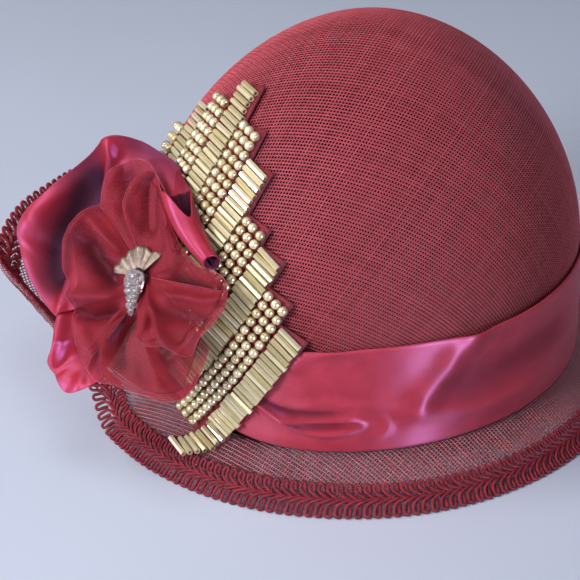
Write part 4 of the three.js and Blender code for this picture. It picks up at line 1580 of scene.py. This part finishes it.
    def build(self) -> None:
        """Lay the backing strips and set the beads."""
        draw = np.random.default_rng(self.seed)
        spots = {Bead.BUGLE: [], Bead.ROUND: []}
        strips, area = [], 0.0
        for number, (bead, latitude, upper, lower) in enumerate(self.stripes):
            half = self.degrees(self.backing_width) / 2
            margin = self.degrees(self.margin)
            columns = np.linspace(upper - margin, lower, self.strip_columns)
            edge = 0 if number else margin * np.linspace(1, self.tuck, self.strip_columns)
            rows = latitude - half + (2 * half + edge) * np.linspace(0, 1, self.strip_rows)[:, None]
            over = self.point(rows, columns, self.backing)
            under = self.point(rows, columns, self.backing_clear)
            area += cloth_area(over)
            size = (float(line_lengths(over, 1).max()), self.backing_width)
            strips.append(shell_between(over, under, False, size))
            if bead is Bead.BUGLE:
                places = self.longitudes(latitude, upper, lower, self.bugle_step)
                height = self.backing + self.bugle_size / 2
                centre, along, out, _ = self.frames(np.full_like(places, latitude), places, height)
                spreads = np.reshape([self.bugle_roll, self.bugle_lean, self.bugle_shift], (3, 1, 1))
                roll, lean, slip = draw.normal(0, 1, (3, len(places), 1)) * spreads
                side = np.cross(along, out)
                turned = unit(along + lean * side), unit(out + roll * side)
                spots[bead].append((centre + slip * along, *turned))
                continue
            places = self.longitudes(latitude, upper, lower, self.round_step)
            height = self.backing + self.round_size / 2
            _, _, _, shift = self.frames(np.full_like(places, latitude), places, height)
            for line in (-1, 0, 1):
                away = line * self.round_pitch + draw.normal(0, self.round_shift, len(places))
                north, east = latitude + away * shift[:, 0], places + away * shift[:, 1]
                spots[bead].append(self.frames(north, east, height)[:3])
        backing = add_piece("bead_backing", joined(strips), self.felt.material())
        declare(backing, Slot.BEADS, "bead_panel")
        for bead, finish in ((Bead.BUGLE, self.bugle_finish), (Bead.ROUND, self.round_finish)):
            centre, rows, out = (np.concatenate(values) for values in zip(*spots[bead]))
            rig = self.bead_rig(bead, finish.material())
            piece = rig.make(f"{bead.value}_beads", centre, rows=rows, out=out)
            declare(piece, Slot.BEADS, "bead_panel")


@dataclass(frozen=True)
class Petal:
    """One petal: fold lines from the eye to the rim as turn, reach, belly, crest and rim, and creases."""

    name: str
    slot: Slot
    base: float
    folds: tuple
    creases: tuple


@dataclass
class Flower:
    """Satin and organza petals with a rolled edge, gathered beside the crown."""

    crown: Crown
    centre: tuple = (-12.7, -101.9, 76.8)
    facing: float = 11.5
    tilt: float = 54.5
    cloth: float = 0.35
    cut_share: float = 0.6
    eye: float = 2.2
    clearance: float = 6.8
    belly_share: float = 0.4
    crest_share: float = 0.95
    fold_steps: int = 10
    rows: int = 36
    crease_from: float = 9.0
    crease_full: float = 18.0
    ripple: float = 0.2
    ripples: tuple = ((1.0, 23, 0.0), (0.6, 41, 1.3))
    pleat: float = 0.8
    pleats: tuple = ((1.0, 5, 0.4), (0.6, 9, 1.9))
    # Furrow depths that give the full painted shade, on satin and on organza
    painted_shade_depth: float = 6.5
    sheer_painted_shade_depth: float = 4.0
    inner_share: float = 0.78
    inner_wave: float = 0.07
    inner_waves: tuple = (5, 0.8)
    inner_rise: float = 0.7
    inner_steps: int = 5
    inner_rows: int = 24
    hem: float = 0.15
    hem_sides: int = 5
    roll_start: tuple = (6.0, 35.0, 17.0)
    roll_bend: tuple = (14.0, 22.5, 16.0)
    roll_end: tuple = (33.0, 12.6, 15.5)
    roll_radii: tuple = (5.8, 2.8)
    roll_turns: tuple = (-20.0, 390.0)
    roll_steps: int = 48
    roll_tuck: float = 0.28
    roll_tuck_from: float = 280.0
    roll_tuck_run: float = 110.0
    roll_cuts: tuple = (0.46, 0.06)
    roll_facing: float = 45.0
    roll_slit: int = 7
    organza: OrganzaFinish = OrganzaFinish()
    # A real rolled hem, partly painted sheen: coloured lighter and pinker than the organza to stand for the
    # sheen along the edges
    painted_sheen_hem_finish: PlainFinish = PlainFinish(
        "organza_hem", colour(156, 50, 64), colour(196, 92, 108), roughness=0.5)
    petals: tuple = (
        Petal("satin_petal_lower", Slot.SATIN, 0, (
            (209, 46, 0, 2, 1), (222, 49, 1, 5, 4), (229, 53, 1, 8, 4), (233, 57, 0, 6, 4),
            (240, 57, 0, 2, 4), (248, 58, 0, 3, 4), (254, 54, 0.5, 5, 5), (261, 45, 0.5, 4, 5)), (
            Crease(3.5, 2.4, (
                (-38, -17), (-36, -22.4), (-33.9, -29.2), (-30.9, -37.9), (-31, -43.9), (-31, -49))),
            Crease(-2.0, 2.6, ((-33.5, -22.4), (-24.9, -33.2), (-15.2, -42.7), (-10, -48))),
            Crease(1.5, 4.0, ((-29, -47), (-19.8, -49.6), (-12, -45))))),
        Petal("satin_petal_upper", Slot.SATIN, 1.5, (
            (216, 46, 2.5, 6, 5), (202, 55, 3, 8, 5), (187, 65, 4, 10, 5), (180, 70, 4, 12, 6),
            (173, 69, 3, 11, 7), (163, 64, 2, 5, 8), (150, 61, 2, 3, 9), (139, 60, 2, 4, 11),
            (131, 60, 3, 7, 13), (124, 59, 3, 8, 15), (115, 55, 3, 8, 14), (106, 50, 4, 10, 13),
            (96, 46, 5, 11, 13), (88, 41.5, 4.5, 9.5, 11), (76, 37.5, 4, 8, 9), (64, 31, 4, 7.5, 8.5)), (
            Crease(3.0, 4.5, (
                (-67, -6), (-65, -1.3), (-62.9, 6.8), (-59.2, 13.5), (-54.3, 21.6), (-49.2, 29.3),
                (-44.6, 35.7), (-39.7, 43.5))),
            Crease(-9.0, 8.0, (
                (-38, -28), (-45, -13), (-49, -3.6), (-49.5, 6), (-48, 15), (-46, 24), (-43.5, 32),
                (-41, 48))),
            Crease(4.6, 2.8, (
                (-41.5, 45), (-38.5, 45), (-35.6, 43.4), (-34.4, 39.5), (-35.6, 34.6), (-36.7, 29.8),
                (-35.6, 24.9), (-30, 22))),
            Crease(-3.2, 2.4, ((-30.5, 40), (-31.5, 35), (-31.8, 30), (-29, 25))),
            Crease(-4.6, 7.0, ((-40, 46), (-30, 47), (-20, 47.5), (-10, 46), (2, 42), (16, 32))),
            Crease(1.5, 3.0, ((-68, -2.2), (-59.4, -10.4), (-51.6, -17.2), (-38, -24))),
            Crease(3.5, 2.2, ((-40, -5), (-39.8, -8.6), (-38.1, -15.6), (-36, -22.4), (-34, -29))))),
        Petal("organza_petal_low", Slot.ORGANZA, 5.5, (
            (245, 42, 2.5, 5, 6), (263, 45, 3, 8, 9), (276, 44, 3, 10, 9), (293, 47, 2, 6, 8),
            (303, 51, 3, 9, 9), (315, 53, 4, 9, 10), (325, 47, 3, 7, 8), (335, 42, 3, 6, 7)), (
            Crease(3.6, 1.9, ((0, -9), (-3.9, -14.4), (-8.4, -19.6), (-9, -25), (-8.2, -31), (-4.2, -44))),
            Crease(-4.0, 2.8, ((4, -12), (-2, -20), (-2.8, -26), (-0.8, -31.5), (6, -42))),
            Crease(2.4, 2.0, ((4, -19), (14.8, -31.1), (21.6, -36.8), (31, -45))),
            Crease(-2.4, 2.6, ((12, -20), (21, -27), (29, -33), (37, -39))))),
        Petal("organza_petal_left", Slot.ORGANZA, 7, (
            (255, 43, 5, 10, 10), (243, 40, 6, 10, 10), (230, 37, 6, 10, 10), (216, 34, 6, 11, 11),
            (202, 35, 6, 11, 10), (188, 38, 8, 13, 11), (177, 41, 7, 14, 12), (166, 42, 6, 13, 12),
            (153, 39, 6, 12, 12), (145, 37, 5, 9, 9.5), (136, 35, 4, 7, 7)), (
            Crease(2.4, 2.0, ((-26, 24), (-33, 17), (-37.5, 9), (-38, 1), (-36, -7), (-32, -18))),
            Crease(3.2, 2.2, ((-38, 16), (-31, 13.6), (-24, 9.8), (-18, 7), (-9, 4))),
            Crease(-5.5, 4.4, ((-38, 9), (-31, 4.4), (-24, -0.6), (-17, -4.4), (-6, -8))),
            Crease(3.8, 2.6, (
                (-40, -18), (-31, -17.7), (-25.1, -16.8), (-15.9, -13.6), (-10.5, -11.4), (-2, -10))),
            Crease(-3.6, 2.6, ((-32, -20), (-22, -22.4), (-14, -20.4), (-4, -14))),
            Crease(1.8, 2.2, ((-28, -21), (-20, -27.5), (-13, -33), (-4, -42))))),
        Petal("organza_petal_back", Slot.ORGANZA, 7.5, (
            (146, 36, 6, 10, 11), (135, 45, 6, 11, 12), (127, 47, 7, 12, 13), (118, 47, 7, 12, 13),
            (109, 45, 7, 12, 13), (101, 39, 7, 12, 13), (94, 34, 7, 11, 12)), (
            Crease(1.4, 2.0, ((-31, 26), (-28.5, 32), (-25.5, 36.8), (-18, 42))),
            Crease(-3.2, 3.4, ((-27, 44), (-22, 31), (-16, 18))),)),
        Petal("organza_petal_side", Slot.ORGANZA, 9, (
            (126, 29, 10, 15, 15), (121, 34, 10, 15, 15), (113, 38, 10, 15, 15.5), (105, 41, 10, 15, 15),
            (97, 35, 10, 15, 15), (83, 27, 10, 14, 14), (63, 22, 10, 14, 14), (40, 22, 10, 14, 14),
            (24, 27, 10, 14, 14), (14, 39, 10, 14, 15), (8, 40, 8, 11, 12), (-3, 36, 5, 6, 7),
            (-15, 32, 4, 4, 4)), (
            Crease(1.8, 1.7, ((-6, 43), (-12.5, 36), (-15.6, 29), (-14.6, 22.7), (-10, 16.7), (0, 11))),
            Crease(-3.6, 4.0, ((-9, 44), (-7, 28), (-1, 12))),
            Crease(2.6, 1.8, ((4, 24), (9, 18), (13, 13.5), (15, 9), (9, 2))),
            Crease(-3.6, 2.6, ((2, 4), (12, 2.8), (18, 2.4), (28.8, 1.4), (42, 1))))),
        Petal("organza_petal_front", Slot.ORGANZA, 9, (
            (6, 44, 10, 17, 17), (2, 45, 10, 17, 17), (-8, 43, 11, 16, 16), (-21, 40, 13, 15, 15),
            (-33, 42, 15, 15, 14), (-41, 35, 17, 18, 16), (-48, 31, 12, 15, 14), (-56, 30, 12, 16, 15),
            (-64, 27, 11, 14.5, 13.5), (-71, 21, 10, 12.5, 11.5)), (
            Crease(2.8, 1.8, ((2, -2), (8, -8), (11, -14), (11.4, -20), (8, -29))),
            Crease(2.2, 1.8, ((4, -7), (15.5, -4), (24.8, -2.3), (35.4, -1.2), (50, 5))),
            Crease(-2.8, 3.2, ((10, -11), (20, -10), (30, -9), (44, -9))),
            Crease(1.6, 2.0, ((12, -15), (22, -20), (30, -24), (38, -28))))))

    def __post_init__(self) -> None:
        """Work out the flower's own axes."""
        turn = Matrix.Rotation(math.radians(self.facing), 3, "Z")
        lean = Matrix.Rotation(math.radians(self.tilt), 3, "X")
        self.axes = np.array(turn @ lean)

    def placed(self, points: Array) -> Array:
        """Take points of the flower to the hat."""
        return points @ self.axes.T + np.array(self.centre)

    def petal_grid(self, petal: Petal, is_inner: bool) -> tuple[Array, Array]:
        """Spread a petal's cloth over its fold lines.

        Args:
            petal: The petal.
            is_inner: Whether it is the shorter layer on top.

        Returns:
            A grid of points, from the eye to the rim by from the first fold to the last, and its painted
            shade.
        """
        steps, rows = (self.inner_steps, self.inner_rows) if is_inner else (self.fold_steps, self.rows)
        columns = (len(petal.folds) - 1) * steps + 1
        position = np.linspace(0, len(petal.folds) - 1, columns)
        turn, reach, belly, crest, rim = np.moveaxis(OpenTable(petal.folds).at(position), -1, 0)
        angle = np.radians(turn)
        waves, shift = self.inner_waves
        reached = self.inner_share + self.inner_wave * np.sin(waves * angle + shift) if is_inner else 1.0
        step = np.linspace(0, 1, rows)[:, None] * reached
        shares = ((1 - step) ** 3, 3 * step * (1 - step) ** 2, 3 * step**2 * (1 - step), step**3)
        radii = (self.eye, self.belly_share * reach, self.crest_share * reach, reach)
        heights = (petal.base, belly, crest, rim)
        radius = sum(share * value for share, value in zip(shares, radii))
        height = sum(share * value for share, value in zip(shares, heights))
        spots = np.stack([radius * np.cos(angle), radius * np.sin(angle)], axis=-1)
        lifts = [crease.lift(spots) for crease in petal.creases]
        fade = np.clip((radius - self.crease_from) / (self.crease_full - self.crease_from), 0, 1)
        height = height + fade * sum(lifts) + (self.inner_rise if is_inner else 0) * step
        if petal.slot is Slot.ORGANZA:
            soft = sum(share * np.sin(count * angle + shift) for share, count, shift in self.ripples)
            sharp = sum(
                share * (1 - np.abs(np.sin(count * angle + shift))) ** 2
                for share, count, shift in self.pleats)
            height = height + self.ripple * step**2 * soft
            height = height + self.pleat * np.sin(math.pi * step) * sharp
        local = np.concatenate([spots, height[..., None]], axis=-1)
        stand_off = self.crown.stand_off(self.placed(local))
        local[..., 2] += np.maximum(self.clearance - stand_off, 0)
        depth = self.sheer_painted_shade_depth if petal.slot is Slot.ORGANZA else self.painted_shade_depth
        return self.placed(local), fade * painted_furrow_shade(lifts, depth)

    def roll_grid(self) -> tuple[Array, Array]:
        """Curl the satin edge into a tapering open roll with slanted ends.

        Returns:
            A grid of points along and round the roll, and its painted shade, which is darkest at the back,
            where the inside shows through the opening.
        """
        turn = np.linspace(*self.roll_turns, self.roll_steps)
        angle = np.radians(turn)
        tuck = 1 - self.roll_tuck * np.clip((turn - self.roll_tuck_from) / self.roll_tuck_run, 0, 1)[:, None]
        front = (1 - np.cos(angle)) / 2
        opening = (1 - np.cos(angle - math.radians(self.roll_facing))) / 2
        first, last = self.roll_cuts[0] * opening**self.roll_slit, 1 - self.roll_cuts[1] * front
        way = (first + (last - first) * np.linspace(0, 1, self.rows)[:, None])[..., None]
        curve = np.array([self.roll_start, self.roll_bend, self.roll_end])
        side = unit(np.cross(bent_way(way, *curve), [0, 0, 1]))
        radius = tuck * (self.roll_radii[0] + (self.roll_radii[1] - self.roll_radii[0]) * way**2)
        swing = np.sin(angle)[:, None] * side - np.cos(angle)[:, None] * np.array([0, 0, 1])
        roll = self.placed(bent(way, *curve) + radius * swing)
        return roll, np.broadcast_to((1 - front) ** 2, way.shape[:2])

    def add_hem(self, name: str, layer: Array, finish: Material) -> Piece:
        """Roll a thin hem along the sides and the rim of a layer.

        Args:
            name: CAD node that the sheet stands for.
            layer: Grid of points on its middle face.
            finish: Material of the hem.

        Returns:
            The hem.
        """
        line = np.concatenate([layer[:-1, 0], layer[-1], layer[-2::-1, -1]])
        number = np.arange(len(line))
        rig = cord_rig(f"{name}_hem", self.hem, self.hem_sides, finish)
        hem = rig.make(f"{name}_hem", line, np.stack([number[:-1], number[1:]], axis=1))
        return declare(hem, Slot.ORGANZA, name)

    def add_sheet(
            self, name: str, slot: Slot, layers: Sequence[Array], shades: Sequence[Array],
            finishes: Sequence[Material], held: Held) -> None:
        """Add one sheet of cloth, with a hem where it has a finish for one.

        Args:
            name: CAD node that the sheet stands for.
            slot: Its material slot.
            layers: Grids of points on the middle face of each layer.
            shades: Painted shade at the points of each layer.
            finishes: Materials of the cloth and, where it has one, of its hem.
            held: Not used.
        """
        shell = joined([sheet_around(layer, self.cloth) for layer in layers])
        shade = np.concatenate([np.tile(shade.ravel(), 2) for shade in shades])
        piece = declare(add_piece(f"{name}_cloth", shell, finishes[0], shade=shade), slot, name)
        trims = [self.add_hem(name, layers[0], finish) for finish in finishes[1:]]
        area = sum(cloth_area(layer) for layer in layers) * MM**2

    def build(self, satin: Material) -> None:
        """Make the petals and the roll.

        Args:
            satin: Material of the satin.
        """
        sheer = (self.organza.material(), self.painted_sheen_hem_finish.material())
        for petal in self.petals:
            is_sheer = petal.slot is Slot.ORGANZA
            grids = [self.petal_grid(petal, inner) for inner in ((False, True) if is_sheer else (False,))]
            layers, shades = zip(*grids)
            finishes = sheer if is_sheer else (satin,)
            self.add_sheet(petal.name, petal.slot, layers, shades, finishes, Held.GATHERED)
        roll, shade = self.roll_grid()
        self.add_sheet("satin_roll", Slot.SATIN, [roll], [shade], (satin,), Held.FOLDED)


@dataclass
class Brooch:
    """Pleated fan over a leaf of stones, pinned through the flower's eye."""

    flower: Flower
    height: float = 11.4
    fan_root: tuple = (-1.5, -1.0)
    fan_aim: float = 122.0
    fan_spread: float = 134.0
    fan_inner: float = 3.0
    # Length of the fan at even steps across it
    fan_radii: tuple = ((13.8,), (11.4,), (12.2,), (11.6,), (10.6,), (11.0,), (11.6,))
    fan_pleats: int = 6
    fan_steps: int = 12
    fan_rows: int = 9
    fan_scallop: float = 0.5
    fan_rise: float = 0.9
    fan_wall: float = 0.6
    leaf_start: tuple = (-2.8, 0.4)
    leaf_end: tuple = (2.6, -16.0)
    leaf_width: float = 7.0
    leaf_shoulder: float = 0.4
    leaf_shoulder_width: float = 3.8
    leaf_thickness: float = 1.4
    leaf_steps: tuple = (10, 7)
    leaf_levels: tuple = (
        (0.02, 0.0), (0.96, 0.0), (1.0, 0.25), (1.0, 0.75), (0.94, 1.0), (0.02, 1.0))
    stone_sides: int = 8
    stone_radius: float = 1.35
    stone_table: float = 0.7
    stone_rise: float = 1.5
    stone_seat: float = 0.6
    # Share of the way along the leaf, and places beside its axis
    stone_rows: tuple = (
        (0.01, (0.0,)), (0.13, (-1.4, 1.4)), (0.29, (-2.7, 0.0, 2.7)), (0.45, (-2.5, 0.1, 2.6)),
        (0.61, (-1.5, 1.4)), (0.77, (-1.3, 1.3)), (0.93, (0.0,)))
    collar_wire: float = 0.2
    collar_sides: tuple = (12, 5)
    pin_radius: float = 1.2
    pin_sides: int = 14
    gold: PlainFinish = PlainFinish(
        "brushed_gold", colour(96, 83, 66), colour(140, 126, 107), roughness=0.45, metallic=0.6,
        stretch=(1.0, 1.0, 0.12), relief=0.2)
    silver: PlainFinish = PlainFinish(
        "stone_setting", colour(84, 78, 73), colour(142, 134, 127), roughness=0.3, metallic=0.9,
        relief=0.1)
    stone: PlainFinish = PlainFinish(
        "foiled_stone", colour(186, 183, 184), colour(250, 248, 246), roughness=0.06, metallic=0.75,
        grain=500.0, relief=0.0)

    def fan_grid(self) -> Array:
        """Pleat the fan.

        Returns:
            A grid of points from its root to its rim, in the flower's own axes.
        """
        columns = self.fan_pleats * self.fan_steps + 1
        share = np.linspace(0, 1, columns)
        wave = 1 - np.abs(np.mod(share * self.fan_pleats, 1) * 2 - 1)
        turn = np.radians(self.fan_aim + self.fan_spread * (share - 0.5))
        row = np.linspace(0, 1, self.fan_rows)[:, None]
        long = OpenTable(self.fan_radii).at(share * (len(self.fan_radii) - 1))[:, 0]
        scallop = long - self.fan_scallop * (1 - wave) ** 2
        radius = self.fan_inner + (scallop - self.fan_inner) * row
        height = self.height + self.fan_rise * wave * row
        return np.stack([
            self.fan_root[0] + radius * np.cos(turn), self.fan_root[1] + radius * np.sin(turn),
            np.broadcast_to(height, radius.shape)], axis=-1)

    def spot(self, share: float, aside: float) -> Array:
        """Give a place on the leaf, along and beside its axis."""
        start, end = np.array(self.leaf_start), np.array(self.leaf_end)
        axis = unit(end - start)
        return start + (end - start) * share + np.array([-axis[1], axis[0]]) * aside

    def leaf_outline(self) -> Array:
        """Draw the leaf's outline.

        Returns:
            Points round the leaf.
        """
        axis = unit(np.array(self.leaf_end) - np.array(self.leaf_start))
        head = np.array(self.leaf_start) - axis * self.stone_radius
        tail = np.array(self.leaf_end) + axis * self.stone_radius
        curved, even = (np.linspace(0, 1, steps)[:, None] for steps in self.leaf_steps)
        sides = []
        for sign in (1, -1):
            turn = self.spot(0, sign * self.leaf_width)
            shoulder = self.spot(self.leaf_shoulder, sign * self.leaf_shoulder_width)
            straight = shoulder + (tail - shoulder) * even[1:]
            sides.append(np.concatenate([bent(curved, head, turn, shoulder), straight]))
        return np.concatenate([sides[0], sides[1][-2:0:-1]])

    def leaf_shell(self) -> Shell:
        """Close the leaf-shaped plate with a rounded rim."""
        outline = self.leaf_outline()
        middle = outline.mean(axis=0)
        rings = []
        for share, rise in self.leaf_levels:
            ring = middle + (outline - middle) * share
            height = np.full((len(ring), 1), self.height + self.leaf_thickness * rise)
            rings.append(np.concatenate([ring, height], axis=1))
        grid = np.array(rings)
        rows, columns = grid.shape[:2]
        row, column = (index.ravel() for index in np.indices((rows - 1, columns)))
        after = (column + 1) % columns
        faces = np.stack([
            row * columns + column, row * columns + after,
            (row + 1) * columns + after, (row + 1) * columns + column], axis=1)
        caps = [np.arange(columns)[::-1], (rows - 1) * columns + np.arange(columns)]
        return Shell(grid.reshape(-1, 3), [faces, np.array(caps)])

    def stone_spots(self) -> Array:
        """Seat the stones in rows along the leaf.

        Returns:
            Their seats in the flower's own axes.
        """
        seats = [self.spot(share, aside) for share, asides in self.stone_rows for aside in asides]
        return np.array([[seat[0], seat[1], self.height + self.leaf_thickness] for seat in seats])

    def placed_rig(self, name: str, inputs: dict, shape: Callable) -> NodeRig:
        """Make a tree that sets one shape square to the brooch on points.

        Args:
            name: Name of the tree.
            inputs: Its inputs.
            shape: Adds the shape to the tree and gives its socket.

        Returns:
            The tree.
        """
        rig = NodeRig(name, inputs)
        upright = rig.add("FunctionNodeAlignRotationToVector", {"Vector": rig.vector("out")}, axis="Z")
        placed = rig.add("GeometryNodeInstanceOnPoints", {
            "Points": rig.source("Geometry"), "Instance": shape(rig), "Rotation": upright.outputs[0]})
        rig.end(placed.outputs[0], False)
        return rig

    def build(self) -> None:
        """Make the metal work and set the stones."""
        gold, silver = self.gold.material(), self.silver.material()
        fan = sheet_around(self.flower.placed(self.fan_grid()), self.fan_wall)
        declare(add_piece("brooch_fan", fan, gold), Slot.BROOCH, "brooch")
        leaf = self.leaf_shell()
        leaf.points = self.flower.placed(leaf.points)
        declare(add_piece("brooch_leaf", leaf.facing_out(), silver, False), Slot.BROOCH, "brooch")
        pin = np.array([[0, 0, 0], [0, 0, self.height + self.leaf_thickness / 2]], float)
        rig = cord_rig("pin_wire", self.pin_radius, self.pin_sides, gold)
        declare(rig.make("brooch_pin", self.flower.placed(pin), [(0, 1)]), Slot.BROOCH, "brooch")
        seats = self.stone_spots()
        out = np.tile(self.flower.axes[:, 2], (len(seats), 1))

        def stone(rig: NodeRig) -> Socket:
            """Add the cut stone's shape."""
            node = rig.add("GeometryNodeMeshCone", {
                "Vertices": self.stone_sides, "Radius Top": rig.source("Table Radius"),
                "Radius Bottom": rig.source("Girdle Radius"), "Depth": rig.source("Stone Rise")})
            return node.outputs["Mesh"]

        def collar(rig: NodeRig) -> Socket:
            """Add the wire collar's shape."""
            ring, wire = (
                rig.circle(sides, rig.source(radius))
                for sides, radius in zip(self.collar_sides, ("Collar Radius", "Wire Radius")))
            return rig.swept(ring, wire)

        raised = seats + [0, 0, self.stone_rise / 2 - self.stone_seat]
        rig = self.placed_rig("cut_stones", {
            "Table Radius": self.stone_table * MM, "Girdle Radius": self.stone_radius * MM,
            "Stone Rise": self.stone_rise * MM, "Finish": self.stone.material()}, stone)
        stones = rig.make("brooch_stones", self.flower.placed(raised), out=out)
        declare(stones, Slot.BROOCH, "brooch")
        rig = self.placed_rig("stone_collars", {
            "Collar Radius": self.stone_radius * MM, "Wire Radius": self.collar_wire * MM,
            "Finish": silver}, collar)
        collars = rig.make("brooch_collars", self.flower.placed(seats), out=out)
        declare(collars, Slot.BROOCH, "brooch")


@dataclass(frozen=True)
class Lamp:
    """One soft light, placed round the hat."""

    name: str
    azimuth: float
    elevation: float
    distance: float
    size: float
    power: float
    shade: Shade
    is_gloss: bool = False


@dataclass
class Studio:
    """Floor, soft lights and camera."""

    floor_size: float = 6.0
    floor_drop: float = 0.0002
    camera_place: tuple = (501.6, -501.6, 429.8)
    camera_target: tuple = (-16.0, -28.3, 43.3)
    camera_roll: float = -0.56
    lens: float = 116.58
    sensor: float = 36.0
    clip_end: float = 100.0
    aim_height: float = 70.0
    sky: Shade = colour(205, 210, 222)
    sky_strength: float = 0.2
    paper: PlainFinish = PlainFinish(
        "floor_paper", colour(191, 202, 216), colour(197, 208, 222), roughness=1.0, grain=3.0,
        relief=0.0, gloss=0.0)
    # Name, azimuth, elevation, distance, size, power and shade
    lamps: tuple = (
        Lamp("key", 234, 42, 1.3, 0.5, 9, colour(255, 248, 254)),
        Lamp("front_left", 274, 24, 1.5, 0.45, 15, colour(252, 248, 255)),
        Lamp("front", 354, 12, 1.6, 0.3, 2.4, colour(244, 240, 255)),
        Lamp("top", 300, 80, 1.4, 0.7, 4, colour(255, 250, 255)),
        Lamp("gloss_right", 352, 5, 1.6, 0.16, 37, colour(228, 204, 255), is_gloss=True),
        Lamp("gloss_left", 241, 6, 1.6, 0.2, 17, colour(216, 208, 255), is_gloss=True))

    def build(self) -> None:
        """Set up the floor, the light and the camera."""
        half = self.floor_size / 2
        mesh = bpy.data.meshes.new("floor")
        corners = [(-half, -half), (half, -half), (half, half), (-half, half)]
        mesh.from_pydata([(x, y, -self.floor_drop) for x, y in corners], [], [(0, 1, 2, 3)])
        mesh.materials.append(self.paper.material())
        new_object("floor", mesh)
        world = bpy.data.worlds.new("studio")
        world.use_nodes = True
        background = world.node_tree.nodes["Background"]
        background.inputs["Color"].default_value = self.sky
        background.inputs["Strength"].default_value = self.sky_strength
        scene = bpy.context.scene
        scene.world = world
        scene.view_settings.view_transform = "Standard"
        aim = Vector((AXIS + [0, 0, self.aim_height]) * MM)
        for lamp in self.lamps:
            data = bpy.data.lights.new(lamp.name, "AREA")
            data.energy, data.size, data.color = lamp.power, lamp.size, lamp.shade[:3]
            light = bpy.data.objects.new(lamp.name, data)
            light.visible_diffuse = not lamp.is_gloss
            way = Vector(toward(lamp.azimuth, lamp.elevation))
            facing = way.to_track_quat("Z", "Y").to_matrix().to_4x4()
            light.matrix_world = Matrix.Translation(aim + way * lamp.distance) @ facing
            scene.collection.objects.link(light)
        self.add_camera(scene)

    def add_camera(self, scene: bpy.types.Scene) -> None:
        """Put the camera at the photograph's angle.

        Args:
            scene: The scene.
        """
        place = Vector((np.array(self.camera_place) + AXIS) * MM)
        target = Vector((np.array(self.camera_target) + AXIS) * MM)
        back = (place - target).normalized()
        level = Vector((0, 0, 1)).cross(back).normalized()
        upright = back.cross(level)
        roll = math.radians(self.camera_roll)
        right = level * math.cos(roll) + upright * math.sin(roll)
        up = upright * math.cos(roll) - level * math.sin(roll)
        data = bpy.data.cameras.new("camera")
        data.lens, data.sensor_width, data.clip_end = self.lens, self.sensor, self.clip_end
        camera = bpy.data.objects.new("camera", data)
        axes = Matrix((right, up, back)).transposed().to_4x4()
        camera.matrix_world = Matrix.Translation(place) @ axes
        scene.collection.objects.link(camera)
        scene.camera = camera


def main() -> None:
    """Build the hat and its studio."""
    logging.basicConfig(level=logging.INFO, format="%(message)s")
    Studio().build()
    satin = SatinFinish().material()
    crown = Crown()
    brim = Brim(crown)
    band = HatBand(crown)
    flower = Flower(crown)
    crown.build()
    brim.build()
    EdgeBraid(brim).build()
    band.build()
    BeadPanel(crown, brim, band).build()
    flower.build(satin)
    Brooch(flower).build()


if __name__ == "__main__":
    main()
